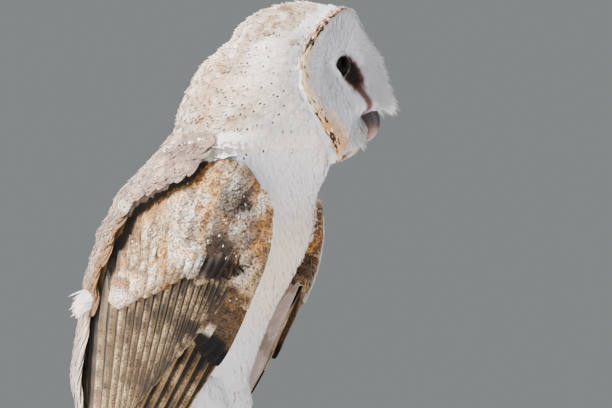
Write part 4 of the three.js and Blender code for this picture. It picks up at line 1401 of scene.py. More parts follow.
def make_ruff():
    """The stiff rim round the face: small feathers that overlap along it, from the top down."""
    rng = np.random.default_rng(131)
    rows = len(RUFF_ROWS)
    place = np.repeat(np.array(RUFF_ROWS), RUFF_STEPS)
    angle = (np.tile(np.arange(RUFF_STEPS), rows) + rng.random(len(place)) * 0.9) / RUFF_STEPS * 2 * math.pi
    folded = np.abs((np.degrees(angle) + 180) % 360 - 180)
    begins = 78 + 5 * place + 16 * rng.random(len(place))
    ends = 172 - 5 * place + 10 * rng.random(len(place))
    kept = (place < 0.6) | ((folded > begins) & (folded < ends))
    kept &= (place > -2.8) | (folded < 70 + 10 * rng.random(len(place)))
    place, angle, folded = place[kept], angle[kept], folded[kept]
    count = len(place)
    place = place + 0.2 * rng.standard_normal(count)
    down = np.where(np.sin(angle) < 0, -1.0, 1.0)
    inner = rise(place, 0.6, 1.6)
    length = lerp(3.2, 5.4, rng.random(count)) * lerp(1, 1.6, inner)
    steps = np.linspace(0, 1, 5)
    turn = angle[:, None] + (down * length / DISC_HALF_WIDTH)[:, None] * steps
    share = 1 - np.maximum(0, place) / outline_at(folded)
    ground = on_face(turn, share[:, None] + 0 * turn)
    out = unit((ground - np.array([0, 0, DISC_Z])) * np.array([0, 1, 1]))
    ahead = np.array([1.0, 0, 0])
    behind = np.maximum(0, -place)[:, None, None]
    forward = lerp(0.7, 1.6, inner)[:, None, None]
    normal = unit(out * (0.8 + 0.1 * behind) + ahead * np.maximum(0.2, forward - 0.3 * behind))
    stand = lerp(0.9, 0.2, inner)[:, None] + lerp(1.1, 0.9, inner)[:, None] * steps
    spine = ground - ahead * behind + normal * stand[..., None]
    spine, tipped = turned(spine), turned(spine + normal)
    normal = unit(tipped - spine)
    width = lerp(0.8, 1.7, rng.random(count)) * lerp(1, 0.6, inner)
    places, normals = vanes(spine, normal, width, [0.6, 1, 1, 0.8, 0.2], 3, (0, 0.1), 0.3)
    chance = rng.random(count)
    beaded = rise(folded, 98, 114) * (1 - rise(folded, 146, 156))
    thin = rise(folded, 60, 72) * (1 - rise(folded, 98, 110))
    dark_share = lerp(0.42 - 0.3 * thin, 0.06, rise(folded, 88, 98)) + 0.42 * beaded
    dark = chance < dark_share * (1 - inner) * (1 - rise(folded, 152, 160))
    buff = chance > lerp(0.6 + 0.25 * thin, 0.35 + 0.4 * rise(place, 2, 8), inner)
    low = rise(folded, 84, 110)[:, None]
    pale = lerp(shade("ead9c6"), shade("efdcc6"), low)
    crest = (1 - rise(folded, 34, 52))[:, None]
    buff_colour = lerp(lerp(shade("b89a7c"), shade("cda988"), low), shade("c08a5c"), crest)
    buff_colour = lerp(buff_colour, shade("dcc0a2"), rise(place, 3, 8)[:, None])
    tip = np.where(dark[:, None], shade("24140d"), np.where(buff[:, None], buff_colour, pale))
    back = rise(-place, 1.9, 4.2)[:, None]
    tip = lerp(tip, shade("efe6dc"), back * 0.45)
    base = lerp(pale, buff_colour, 0.5)
    tint = rich(np.stack([base, lerp(base, tip, 0.75), tip, tip, tip], 1))
    patches = patches_for(spine[:, 0])
    return feather_mesh("ruff_feathers", places, normals, tint, 0 * tint, patches, 0.4, speckled_plumage)


ruff = make_ruff()


# ---------------------------------------------------------------- head, neck, breast and legs
def head_zone(points, normals):
    """The crown, nape and sides of the neck, down to where mantle and breast begin."""
    x, y = chart(points)
    share, ahead = face_share(points)
    off_disc = (share > 1.03) | (ahead < 0.8)
    border = 150 - 8 * rise(x, 206, 300) + 26 * rise(x, 296, 350)
    return off_disc & (y < border) & (points[:, 2] > 296)


def bare_body(points, normals):
    """The breast, belly and legs: what neither head, wing nor back covers."""
    degrees, off = around_body(points)
    z = points[:, 2]
    under_wing = (degrees > lead_at(z) + 26) & (z > 176) & (z < 305)
    behind = (degrees > 120) & (z > 150)
    wing = (off > -1.0) & (degrees > lead_at(z) - 2) & (z > 172) & (z < 309)
    x, y = chart(points)
    shoulder = (x > 190) & (x < 238) & (y > 147) & (y < 175)
    head = head_zone(points, normals) | on_disc(points, normals)
    return ~(head | under_wing | behind | wing | shoulder)


def marks_on(spine, dark, light, marbled):
    """A feather's three marks from 0 to 1, each for all of them or for every feather or row."""
    marks = np.empty_like(spine)
    for column, mark in enumerate((dark, light, marbled)):
        marks[..., column] = mark
    return marks


def speckled(marbled, dark=0.0, light=0.0, start=(0, 1)):
    """Marks by chance: dark drops on a share of the feathers, some of those with a light tip.

    The drops begin between the two chart steps down in start.
    """

    def read(spine, rng):
        _, y = chart(spine[:, 0])
        count = len(spine)
        dotted = rng.random(count) < dark * rise(y, *start)
        tipped = dotted & (rng.random(count) < light)
        return marks_on(spine, dotted[:, None], tipped[:, None], marbled)

    return read


def head_length(roots):
    return 6.5 + 4.5 * (1 - rise(roots[:, 2], 320, 385))


head_coat = lay_coat(
    "head_feathers", skin_ground, 1.75, head_zone, body_lie, head_length, 3.8, head_tint,
    speckled_plumage, 201, lift=(0.2, 2.2), marks=speckled(0.3), soften=0.82, uneven=0.1, cup=0.12,
    twist=3,
)


def dot_place(points, normals):
    """The crown, nape and sides of the neck, but for the part beside the face."""
    x, y = chart(points)
    return head_zone(points, normals) & (x < 318 - 0.25 * np.maximum(0, y - 60))


def dot_length(roots):
    return head_length(roots) * 0.9


def ruffle_room(points, normals):
    """A band above the shoulder, whose feathers puff out over the wing and the cape."""
    x, y = chart(points)
    line = np.interp(x, [170, 185, 250, 300, 318], [160, 150, 143, 140, 141])
    return (x > 178) & (x < 314) & (y > line - 13) & (y < line - 5) & (points[:, 2] > 300)


def breast_length(roots):
    return 7 + 5 * rise(roots[:, 2], 125, 190)


def breast_width(roots):
    return 3.4 + 1.8 * rise(roots[:, 2], 125, 190)


def breast_lift(roots):
    return 0.6 + 0.78 * coat_depth_at(roots[:, 2])


shoulder_ruffle = lay_coat(
    "shoulder_ruffle", skin_ground, 1.5, ruffle_room, body_lie, 7.5, 4.0, plain(WHITE),
    white_plumage, 207, lift=(1.0, 5.0), uneven=0.6, cup=0.2, soften=0.7, vary_tint=0.02,
)
head_dots = lay_coat(
    "head_marks", skin_ground, 6.6, dot_place, body_lie, dot_length, 3.9, head_tint,
    speckled_plumage, 203, lift=(1.6, 3.2), marks=speckled(0.2, 0.9, 0.1), soften=0.85,
    uneven=0.08, twist=3, cup=0.3,
)
breast_coat = lay_coat(
    "breast_feathers", skin_ground, 2.3, bare_body, body_lie, breast_length, breast_width,
    breast_tint, white_plumage, 211, lift=(0.3, breast_lift), soften=0.8, uneven=0.25, vary_tint=0.02,
)


# ---------------------------------------------------------------- mantle and rump
def sheet_ground(name, z_range, degrees_range, offset_at):
    """A ground sheet round the back, wider than what is feathered, so that edges can overhang."""
    form = bmesh.new()
    bmesh.ops.create_grid(form, x_segments=90, y_segments=70, size=1)
    for vertex in form.verts:
        share = vertex.co * 0.5 + Vector((0.5, 0.5, 0))
        z = lerp(*z_range, share.y)
        degrees = lerp(*degrees_range, share.x)
        vertex.co = Vector(on_body(z, math.radians(degrees), offset_at(z, degrees))) * MM
    bmesh.ops.recalc_face_normals(form, faces=form.faces)
    sheet = finished(name, form)
    ground = Ground(sheet.data)
    if ground.face_normals[:, 0].mean() > 0:
        ground.normals *= -1
        ground.face_normals *= -1
    bpy.data.objects.remove(sheet)
    return ground


MANTLE_STEPS = (309, 281, 260, 229)  # heights at which one lap of the cape hangs over the next


def mantle_offset(z, degrees):
    over_wing = rise(abs(degrees - 180), 30, 62)
    lap = 0
    for above, below in zip(MANTLE_STEPS, MANTLE_STEPS[1:]):
        lap += rise(z, above, below) ** 1.5 * (z > below)
    return lerp(-1.0, 5.0 + 2.4 * over_wing + 1.5 * lap, rise(z, 326, 300))


def mantle_zone(points, normals):
    """Where mantle feathers are rooted, so that their tips end on the cape's edge."""
    x, y = mantle_tips(points)
    inside = x < mantle_hem_at(y) + 2 + 2.5 * noise(points, 7, 51)
    degrees, _ = around_body(points)
    above_rump = y < 320 - 0.05 * np.abs(points[:, 1])
    return inside & (degrees > 88) & above_rump & (points[:, 2] < 322)


def mantle_lie(places, normals):
    """Down the back, fanning out a little to each side."""
    out = places[:, 1:2] * 0.004
    return unit(np.concatenate([-0.25 + 0 * out, out, -1 + 0 * out], 1))


def mantle_length(roots):
    return 13 + 7 * rise(roots[:, 2], 300, 240)


def mantle_tips(roots):
    """Where on the chart the mantle feathers with these roots end."""
    x, y = chart(roots)
    long = mantle_length(roots) / CHART
    return x - 0.12 * long, y + 0.93 * long


def mantle_lift(roots):
    """The tips stand higher towards the cape's edge, which hangs clear of the wing."""
    x, y = mantle_tips(roots)
    low = rise(chart(roots)[1], 150, 185)
    return 1.0 + 1.2 * (1 - rise(mantle_hem_at(y) - x, 2, 24)) * low


def drop_lift(roots):
    return mantle_lift(roots) + 0.7


long_lie = dict(rows=7, profile=LONG_CONTOUR)
mantle_ground = sheet_ground("mantle_ground", (180, 340), (70, 290), mantle_offset)
mantle_coat = lay_coat(
    "mantle_feathers", mantle_ground, 2.6, mantle_zone, mantle_lie, mantle_length, 8.5, mantle_tint,
    marbled_plumage, 301, lift=(0.0, mantle_lift), marks=speckled(0.45), soften=0.93, uneven=0.08,
    cup=0.04, twist=1.5, wander=6, vary_tint=0.03, **long_lie,
)
mantle_marks = lay_coat(
    "mantle_marks", mantle_ground, 7.0, mantle_zone, mantle_lie, 10, 5.0, mantle_tint,
    marbled_plumage, 303, lift=(0.8, drop_lift), marks=speckled(0.4, 0.9, 0.35, (148, 160)),
    soften=0.85, uneven=0.05, cup=0.3, twist=2, vary_tint=0.03, **long_lie,
)


def rump_tint(points):
    lumps = noise(points, 10, 61, 2)[..., None]
    tint = lerp(shade("948a88"), shade("aba09b"), np.clip(0.5 + lumps, 0, 1))
    degrees, _ = around_body(points)
    return lerp(tint, shade("dcd3cb"), (1 - rise(degrees, 146, 148))[..., None] * 0.5)


def rump_zone(points, normals):
    degrees, _ = around_body(points)
    low = 160 + 9 * noise(points * np.array([1, 1, 0]), 5, 63)
    return (degrees > 147.5) & (points[:, 2] < 234) & (points[:, 2] > low)


rump_ground = sheet_ground(
    "rump_ground", (100, 250), (120, 240), lambda z, degrees: rump_offset_at(z) - 2.0
)
rump_coat = lay_coat(
    "rump_feathers", rump_ground, 3.4, rump_zone, mantle_lie, 24, 9.0, rump_tint, marbled_plumage,
    311, lift=(-1.0, 1.2), marks=speckled(0.3), soften=0.9, uneven=0.1, wander=5, cup=0.05, twist=2,
    **long_lie,
)


# ---------------------------------------------------------------- wings
TABLE_STEP = 2.0
CHART_ROWS = np.arange(50, 320, TABLE_STEP)
CHART_STEPS = np.arange(40, 320, TABLE_STEP)


def chart_angles():
    """For each height and chart step, the angle round the body of the right wing's outer face."""
    table = np.empty((len(CHART_ROWS), len(CHART_STEPS)))
    for row, z in enumerate(CHART_ROWS):
        degrees = np.arange(20, 166, 1.0)
        steps, _ = chart(on_wing(np.full_like(degrees, z), degrees, 0.0))
        falling = np.minimum.accumulate(steps) + np.arange(len(steps)) * -1e-6
        table[row] = np.interp(CHART_STEPS, falling[::-1], degrees[::-1])
    return table


ANGLES = chart_angles()


def from_chart(x, y, depth):
    """The place on the right wing's outer face that a chart place shows, and so much below it."""
    z = CHART_TOP - y * CHART
    row = np.clip((z - CHART_ROWS[0]) / TABLE_STEP, 0, len(CHART_ROWS) - 1.001)
    column = np.clip((x - CHART_STEPS[0]) / TABLE_STEP, 0, len(CHART_STEPS) - 1.001)
    i, j = row.astype(int), column.astype(int)
    s, t = row - i, column - j
    upper = lerp(ANGLES[i, j], ANGLES[i, j + 1], t)
    lower = lerp(ANGLES[i + 1, j], ANGLES[i + 1, j + 1], t)
    return on_wing(z, lerp(upper, lower, s), depth)


def kept_on_wing(x, y):
    """Chart places, with what would pass the wing's leading edge drawn in to it."""
    room = lead_step(y) - x
    drawn = np.where(room < 4, 4 * np.exp(np.minimum(room - 4, 0) / 4), room)
    return x + room - drawn, y


def wing_normals(x, y, depth):
    """The wing's face at chart places, from places 1.5 steps to each side."""
    a = from_chart(x + 1.5, y, depth) - from_chart(x - 1.5, y, depth)
    b = from_chart(x, y + 1.5, depth) - from_chart(x, y - 1.5, depth)
    return unit(np.cross(b, a))


def covert_lie(places, normals):
    """Down the wing towards its tip, as seen from the side."""
    x, _ = chart(places)
    lean = covert_lean(x)[:, None]
    way = -np.sin(lean) * ACROSS - np.cos(lean) * UP
    facing = normals @ TOWARDS_EYE
    facing = np.where(facing >= 0, np.maximum(facing, 0.35), np.minimum(facing, -0.35))
    return way - (np.sum(way * normals, -1) / facing)[:, None] * TOWARDS_EYE


# Chart steps across and down, where the small coverts end.
COVERT_ENDS = np.array([
    (80, 286), (98, 286), (122, 284), (146, 272), (172, 262), (198, 259), (222, 262), (240, 282), (262, 300),
])


def covert_zone(points, normals):
    x, y = chart(points)
    above = y + 0.9 * covert_length(points) / CHART < np.interp(x, *COVERT_ENDS.T) + 4
    return (points[:, 1] < 0) & wing_zone(points, normals) & above & (x > mantle_hem_at(y) - 9)


def covert_tint(points):
    white = lerp(WHITE, shade("e8e2dc"), 0.3)
    return lerp(wing_tint(points), white, wing_margin(points)[..., None])


def covert_length(roots):
    _, y = chart(roots)
    return lerp(11, 21, rise(y, 165, 262))


def covert_lift(roots):
    """The tips lie low along the cape's edge, so that it hangs clear of them."""
    x, y = chart(roots)
    return 0.7 + 0.7 * rise(x - mantle_hem_at(y), -4, 22) + 1.0 * rise(y, 225, 250)


def covert_width(roots):
    return covert_length(roots) * 0.46


def covert_marks(spine, rng):
    count = len(spine)
    dotted = rng.random(count) < 0.18 * (1 - wing_margin(spine[:, 0]))
    dark = dotted * (0.4 + 0.6 * rng.random(count))
    light = dotted * (rng.random(count) < 0.8) * 0.9
    return marks_on(spine, dark[:, None], light[:, None], 0.85 * (1 - wing_margin(spine)))


def make_coverts(word, seed):
    return lay_coat(
        f"wing_{word}_covert_feathers", skin_ground, 2.35, covert_zone, covert_lie, covert_length,
        covert_width, covert_tint, marbled_plumage, seed, lift=(0.3, covert_lift), marks=covert_marks,
        soften=0.88, uneven=0.12, wander=7, vary_tint=0.07, cup=0.06, twist=2,
        mirrored=word == "left", **long_lie,
    )


def under_zone(points, normals):
    """The right wing's underside, where it shows beside the breast."""
    degrees, off = around_body(points)
    z = points[:, 2]
    on = (z < 300) & (z > 172) & (degrees > lead_at(z) - 2) & (degrees < 112)
    return on & (off > 0.3) & (points[:, 1] < 0) & (outward(points, normals) < 0.15)


def under_tint(points):
    grain = noise(points, 9, 71, 2)[..., None]
    low = rise(points[..., 2:3], 215, 175)
    tint = lerp(shade("efe8e8"), shade("dccfd0"), np.clip(0.4 + grain, 0, 1) * 0.7)
    return lerp(tint, shade("c9aaa0"), low * 0.35)


def make_lining(word, seed):
    return lay_coat(
        f"wing_{word}_lining", skin_ground, 2.6, under_zone, covert_lie, 10.0, 4.6, under_tint,
        white_plumage, seed, lift=(0.2, 1.6), soften=0.7, uneven=0.2, mirrored=word == "left",
    )


coverts = {word: make_coverts(word, seed) for word, seed in (("right", 401), ("left", 402))}
linings = {word: make_lining(word, seed) for word, seed in (("right", 411), ("left", 412))}

ARCH_MIDDLE, ARCH_HALF = -0.45, 0.55  # shares of the web: what shows of each feather is arched


def feather_depths(s, arch, slip):
    """How far a feather's web falls, by share across it from its leading edge at -1."""
    bow = arch * ((s - ARCH_MIDDLE) / ARCH_HALF) ** 2
    edge = ARCH_MIDDLE + ARCH_HALF
    return np.where(s < edge, bow, arch + slip * (s - edge))


def vane_outline(share, root, widening, blunt, point):
    """A long feather's width along it: it widens from its root, and its tip is rounded by blunt."""
    widened = np.minimum(1, (share + root) / widening) ** 0.5
    return widened * np.sqrt(np.clip((1.0 - share) / blunt, point, 1))


def strips(count, low, high):
    """Patches for long feathers on the export's map: side by side, from low and high tall."""
    number = np.arange(count)
    return joined((number + 0.08) / count, low, 0.84 / count, high)


def laid_feathers(
    word, kind, tips, roots, webs, deep, bow, tint, marks, finish, seed, *,
    rows, blunt, dip, arch, slip, vary_tint, map_low,
):
    """Long feathers laid over a folded wing, the trailing side of each slipped under the next.

    tips and roots are on the chart, webs are each feather's leading and trailing widths in mm, deep
    how far it lies below the wing's face and bow how far it curves. dip is how much deeper the
    root lies, arch how far the web is bowed and slip how steeply it goes under its neighbour.
    """
    count, columns = len(tips), 13
    share = np.linspace(0, 1, rows)[None]
    along = unit(tips - roots)
    side = joined(-along[:, 1], along[:, 0])
    side = np.where(side[:, :1] < 0, side, -side)
    middle = roots[:, None] + (tips - roots)[:, None] * share[..., None]
    middle = middle - side[:, None] * (np.sin(share * math.pi) * bow[:, None])[..., None]
    s = np.linspace(-1, 1, columns)
    web = np.where(s[None] < 0, webs[:, :1], webs[:, 1:]) / CHART
    reach = web[:, None] * s * vane_outline(share, 0.03, 0.16, blunt, 0.01)[..., None]
    over = middle[:, :, None] + side[:, None, None] * reach[..., None]
    x, y = kept_on_wing(over[..., 0], over[..., 1])
    number = np.arange(count)[:, None] + 0 * share
    share = share + 0 * number
    sag = 0.22 * noise(joined(number * 9.1, share * 7, 0), 2.0, seed)
    sag = sag + dip * (1 - rise(share, 0.0, 0.4))
    depth = deep[:, None, None] + feather_depths(s, arch, slip) + sag[..., None]
    places = from_chart(x, y, depth)
    normals = wing_normals(x, y, depth)
    spine = places[:, :, columns // 2]
    vary = 1 + vary_tint * np.random.default_rng(seed).standard_normal((count, 1, 1))
    colour = rich(np.clip(tint(spine, number, share) * vary, 0, 1))
    marks = marks(spine, number)
    if word == "left":
        places, normals = mirrored_feathers(places, normals)
    name, patches = f"wing_{word}_{kind}", strips(count, map_low, 0.44)
    return feather_mesh(name, places, normals, colour, marks, patches, 0.15, finish)


def roots_from(tips, lean, long):
    """Roots on the chart of feathers that lean by an angle from upright, long in chart steps."""
    return tips + joined(np.sin(lean), -np.cos(lean)) * long[:, None]


SECONDARIES = 18
# Chart steps across and down, where the row of secondaries ends, and each primary.
SECONDARY_ENDS = [(93, 472), (110, 442), (126, 414), (150, 388), (180, 352), (214, 312)]
secondary_end_at = through(SECONDARY_ENDS)
PRIMARY_ENDS = [
    (88, 572), (84, 580), (81, 574), (79, 560), (78, 542), (78, 524), (79, 506), (81, 490), (83, 474),
    (86, 458),
]
# The primaries cross a level at even steps, and their roots are a rise above it.
PRIMARY_ROW_Y, PRIMARY_ROW_X, PRIMARY_STEP, PRIMARY_RISE = 390, 197, 11.6, 104


def flight_tint(spine, number, share):
    x, y = chart(spine)
    grain = noise(joined(x, y, number * 5.0), 12, 431, 2)[..., None]
    inner = (number < SECONDARIES)[..., None]
    shaded = (rise(x, 120, 195) * 0.95)[..., None]
    tint = np.where(inner, lerp(shade("8f8070"), shade("4f443c"), shaded), shade("86725b"))
    tint = lerp(tint, shade("cbbba6"), np.clip(grain * 1.6 + 0.08, 0, 0.75))
    tint = lerp(tint, shade("2c231c"), np.clip(-grain * 1.7, 0, 0.75))
    # near black close under the cape's hem: painted shadow
    from_hem = x - mantle_hem_at(y) + 20 * rise(y, 300, 330)
    return lerp(tint, shade("17100b"), (1 - rise(from_hem, 7, 17))[..., None] * 0.95)


def flight_marks(spine, number):
    return marks_on(spine, np.where(number >= SECONDARIES, 0.8, 0.35), 1.0, 1.0)


def flight_feathers(word):
    """The secondaries, and under their tips the primaries, of one wing."""
    across = np.linspace(214, 88, SECONDARIES)
    share = np.linspace(0, 1, SECONDARIES)
    tips = joined(across, secondary_end_at(across))
    roots = roots_from(tips, np.radians(lerp(26, 4, share)), lerp(78, 238, share**0.85))
    ends = np.array(PRIMARY_ENDS, float)
    steps = np.arange(len(ends))
    middle = joined(PRIMARY_ROW_X - PRIMARY_STEP * steps, PRIMARY_ROW_Y)
    lean = (middle - ends)[:, 0] / (ends[:, 1] - PRIMARY_ROW_Y)
    lifted = middle + joined(lean * PRIMARY_RISE + 8, -PRIMARY_RISE)
    webs = np.repeat([(4.0, 9.5), (4.6, 12.0)], (SECONDARIES, len(ends)), axis=0)
    webs[SECONDARIES, 0] = 3.2  # the leading primary's narrow outer web
    webs[SECONDARIES - 1, 1] = 9.0
    deep = np.concatenate([lerp(1.9, -0.4, share), lerp(4.8, 2.6, steps / 9)])
    bow = np.repeat([1.2, -1.6], (SECONDARIES, len(ends)))
    tips, roots = np.concatenate([tips, ends]), np.concatenate([roots, lifted])
    return laid_feathers(
        word, "flight_feathers", tips, roots, webs, deep, bow, flight_tint, flight_marks, long_plumage, 421,
        rows=56, blunt=0.075, dip=2.4, arch=2.3, slip=0.9, vary_tint=0.07, map_low=0.02,
    )


GREATER_COVERTS = 14
GREATER_ENDS = [
    (88, 312), (98, 309), (122, 307), (146, 295), (172, 284), (198, 281), (222, 279), (236, 292),
]
greater_end_at = through(GREATER_ENDS)
# The hand's coverts and bastard wing: each one's tip on the chart, its length and its lean.
HAND_COVERTS = [
    (243, 314, 62, 22), (239, 326, 66, 24), (233, 338, 66, 25), (228, 351, 72, 26),
    (221, 362, 78, 28), (213, 359, 74, 29), (206, 352, 68, 30), (201, 342, 60, 31), (198, 330, 50, 32),
]


# Patches on the hand's coverts, as in the wing's own list.
HAND_PATCHES = [
    ((242, 318), (7, 30), 25, "6f5c49", 0.85),
    ((247, 286), (10, 9), 25, "cdb79e", 0.8),
    ((207, 327), (9, 5), -25, "e6dccf", 0.9),
    ((208, 299), (4, 4), 0, "e6dccf", 0.9),
]


def long_covert_tint(spine, number, share):
    x, y = chart(spine)
    tint = wing_tint(spine)
    greater = lerp(tint, tint * np.array([0.5, 0.45, 0.42]), rise(share, 0.55, 0.9)[..., None] * 0.7)
    grain = noise(spine, 9, 447, 2)[..., None]
    hand = lerp(shade("584b42"), shade("7d6d5e"), np.clip(0.4 + grain, 0, 1))
    hand = painted(hand, x, y, HAND_PATCHES)
    hand = lerp(hand, shade("0a0605"), black_patch(x, y)[..., None])
    return np.where((number < len(HAND_COVERTS))[..., None], hand, greater)


def black_patch(x, y):
    """The black patch where the hand's coverts end, from 0 to 1."""
    return 1 - rise(np.hypot((x - 212) / 18.5, (y - 348) / 21), 0.78, 1.0)


def long_covert_marks(spine, number):
    dark = (number * 7 % 5 < 2) * (number >= len(HAND_COVERTS)) * 0.8
    return marks_on(spine, dark, 0, 0.9 * (1 - black_patch(*chart(spine))))


def long_coverts(word):
    """The greater coverts over the secondaries' roots, and the hand's coverts over the primaries'."""
    across = np.linspace(234, 122, GREATER_COVERTS)
    share = np.linspace(0, 1, GREATER_COVERTS)
    hand = np.array(HAND_COVERTS, float)
    uneven = 7.0 * noise(joined(across, 0, 0), 7, 443)
    tips = np.concatenate([hand[:, :2], joined(across, greater_end_at(across) + uneven)])
    lean = np.concatenate([np.radians(hand[:, 3]), covert_lean(across)])
    roots = roots_from(tips, lean, np.concatenate([hand[:, 2], 40 + 0 * across]))
    webs = np.repeat([(3.6, 8.0), (4.0, 8.0)], (len(hand), len(across)), axis=0)
    deep = np.concatenate([np.linspace(3.0, 1.4, len(hand)), lerp(0.7, -1.2, share)])
    return laid_feathers(
        word, "long_coverts", tips, roots, webs, deep, 1.0 + 0 * deep, long_covert_tint,
        long_covert_marks, marbled_plumage, 441,
        rows=26, blunt=0.16, dip=2.6, arch=0.9, slip=1.0, vary_tint=0.06, map_low=0.5,
    )


EDGE_ROWS = (0.5, 4, 8, 12.5, 17.5, 23)  # chart steps in from the wing's leading edge
EDGE_STARTS, EDGE_ENDS, EDGE_STEP, EDGE_LENGTH = 206, 306, 5.0, 19  # chart steps down


def edge_marks(spine, number):
    inside = 1 - wing_margin(spine)
    dark = (number * 5 % 7 < 2) * 0.8 * inside
    return marks_on(spine, dark, (number * 5 % 7 < 1) * 0.9 * inside, 0.85 * inside)


def edge_tint(spine, number, share):
    return covert_tint(spine)


def edge_coverts(word):
    """Short feathers over the wrist and along the folded wing's leading edge."""
    down = np.arange(EDGE_STARTS, EDGE_ENDS, EDGE_STEP)
    in_from = np.repeat(EDGE_ROWS, len(down))
    ends = np.tile(down, len(EDGE_ROWS)) + 3.2 * (in_from * 2 % 3)
    kept = in_from > 12 * (1 - rise(ends, 198, 228))
    in_from, ends = in_from[kept], ends[kept]
    starts = ends - EDGE_LENGTH
    tips = joined(lead_step(ends) - in_from, ends)
    roots = joined(lead_step(starts) - in_from * 0.9 - 1, starts)
    webs = np.tile([3.2, 4.4], (len(tips), 1))
    deep = 0.4 + 0.05 * in_from + 0.3 * np.random.default_rng(453).random(len(tips))
    return laid_feathers(
        word, "edge_coverts", tips, roots, webs, deep, 0 * deep, edge_tint, edge_marks, marbled_plumage, 451,
        rows=10, blunt=0.3, dip=1.1, arch=0.4, slip=0.7, vary_tint=0.04, map_low=0.5,
    )


edges, flights, greater_coverts = (
    {word: make(word) for word in SIDES} for make in (edge_coverts, flight_feathers, long_coverts)
)


def make_tuft():
    """A few loose white feathers that stand out from under the cape's hem on the right."""
    rng = np.random.default_rng(461)
    count = 90
    roots = from_chart(92 + 6 * rng.random(count), 289 + 15 * rng.random(count), -1.0 + 2 * rng.random(count))
    fan = rng.random((count, 2, 1))
    way = unit(-ACROSS - UP * (0.1 + 0.55 * fan[:, 0]) + TOWARDS_EYE * (0.5 * fan[:, 1] - 0.1))
    share = np.linspace(0, 1, 6)[None, :, None]
    long = (9 + 5 * rng.random(count))[:, None, None]
    spine = roots[:, None] + (way[:, None] * share - UP * 0.2 * share**2) * long
    normal = unit(np.broadcast_to(TOWARDS_EYE + 0.5 * UP, spine.shape) - way[:, None] * 0.2)
    places, normals = vanes(spine, normal, 1.3 + rng.random(count), [0.5, 1, 0.9, 0.5, 0.1], 3, (0, 0), 0.2)
    tint = rich(np.broadcast_to(WHITE, spine.shape))
    patches = patches_for(roots)
    return feather_mesh("loose_tuft", places, normals, tint, 0 * tint, patches, 0.5, white_plumage)


tuft = make_tuft()


# ---------------------------------------------------------------- tail
TAIL_FEATHERS = 12


def tail_feathers():
    """Twelve long feathers, the middle pair on top, nearly closed."""
    rng = np.random.default_rng(501)
    from_middle = np.arange(TAIL_FEATHERS) - (TAIL_FEATHERS - 1) / 2
    pair, side = np.abs(from_middle), np.sign(from_middle)
    rows, columns = 36, 9
    share = np.linspace(0, 1, rows)
    end = 69 + 1.2 * pair
    z = lerp(182.0, end[:, None], share)
    degrees = 180 + side[:, None] * (1.5 + lerp(7.0, 8.6, share) * pair[:, None])
    s = np.linspace(-1, 1, columns)
    web = lerp(8.0, 7.0, share) * vane_outline(share, 0.05, 0.2, 0.08, 0.012)
    from_axis = half_at(z)[..., None] * 0.7 + back_at(z)[..., None] * 0.3 + 3
    around = np.degrees(web[None, :, None] * s / from_axis)
    fall = 0.8 * np.abs(s) ** 1.8 - 0.3 * np.exp(-((s / 0.12) ** 2))
    height = 4.6 - 0.34 * pair[:, None, None] - fall
    angle = np.radians(degrees[..., None] + around)
    upright = np.repeat(z[..., None], columns, -1)
    places = on_body(upright, angle, height + 0 * angle)
    normals = unit(on_body(upright, angle, height + 1 + 0 * angle) - places)
    grain = noise(places[:, :, columns // 2], 16, 5)[..., None]
    tint = lerp(shade("ddc9ab"), shade("b7a08a"), np.clip(grain * 0.8 + 0.25, 0, 0.6))
    tint = tint * (1 + 0.04 * rng.standard_normal((TAIL_FEATHERS, 1, 1)))
    marks, patches = marks_on(tint, 0.8, 0.12, 0.45), strips(TAIL_FEATHERS, 0.04, 0.92)
    return feather_mesh("tail_feathers", places, normals, rich(tint), marks, patches, 0.25, long_plumage)


tail = tail_feathers()


# ---------------------------------------------------------------- the skin's markings
def skin_finish():
    """The skin's markings under the feathers, with a fine grain that reads as down."""
    ways = {"Roughness": 0.9, "Specular_IOR_Level": 0.15, "Sheen_Roughness": 0.6}
    f = Finish("downy_skin", Sheen_Weight=0.1, **ways)
    down = f.noise(900, 3)
    f.colour(f.times(f.layer("tint"), f.ramp(down, 0.3, 0.7, 0.86, 1.06)))
    f.bump(down, 0.3, 0.0004)
    return f.material


def mark_skin():
    """The same markings on the skin as on the coat that lies over each part of it."""
    points, normals = skin_ground.places, skin_ground.normals
    right = np.where(points[:, 1:2] > 0, other_side(points), points)
    back = around_body(points)[0] > mantle_edge_at(points[:, 2]) + 2
    tint = breast_tint(points)
    for zone, marked in (
        (head_zone(points, normals), head_tint(points)),
        (wing_zone(points, normals), wing_tint(right)),
        (back & (points[:, 2] < 300), mantle_tint(points)),
        (on_disc(points, normals), face_tint(points)),
    ):
        tint = np.where(zone[:, None], marked, tint)
    put_colours(skin.data, "tint", rich(np.clip(tint, 0, 1)))
    skin.data.materials.append(skin_finish())


mark_skin()


# ---------------------------------------------------------------- eyes and bill
def eye_glass():
    f = Finish("eye_glass", Roughness=0.05, IOR=1.3, Specular_IOR_Level=0.14)
    cloudy = f.ramp(f.noise(380, 3), 0.35, 0.75)
    f.colour(f.mix(cloudy, shade("050404"), shade("140d0b")))
    return f.material


def horn(name, light, dark, low, high, roughness):
    """Horn: one colour running into another from low to high, in metres, with fine growth lines."""
    f = Finish(name, Roughness=roughness, Coat_Weight=0.15, Coat_Roughness=0.3)
    _, _, z = f.parts(f.place())
    lines = f.noise(900, 2, f.place(0.25, 0.25, 1.6))
    height = f.plus(z, f.product(f.minus(f.noise(260, 2), 0.5), 0.006))
    colour = f.mix(f.ramp(height, low, high), shade(light), shade(dark))
    f.colour(f.mix(f.ramp(lines, 0.4, 0.7, 0.0, 0.35), colour, shade(dark)))
    f.bump(lines, 0.12, 0.0003)
    return f.material


def make_eye(word, side):
    ball = on_head(ball_shape(eye_centre(side), EYE_RADIUS))
    return moulded(f"glass_eye_{word}", 48, 32, ball, EYE_GLASS)


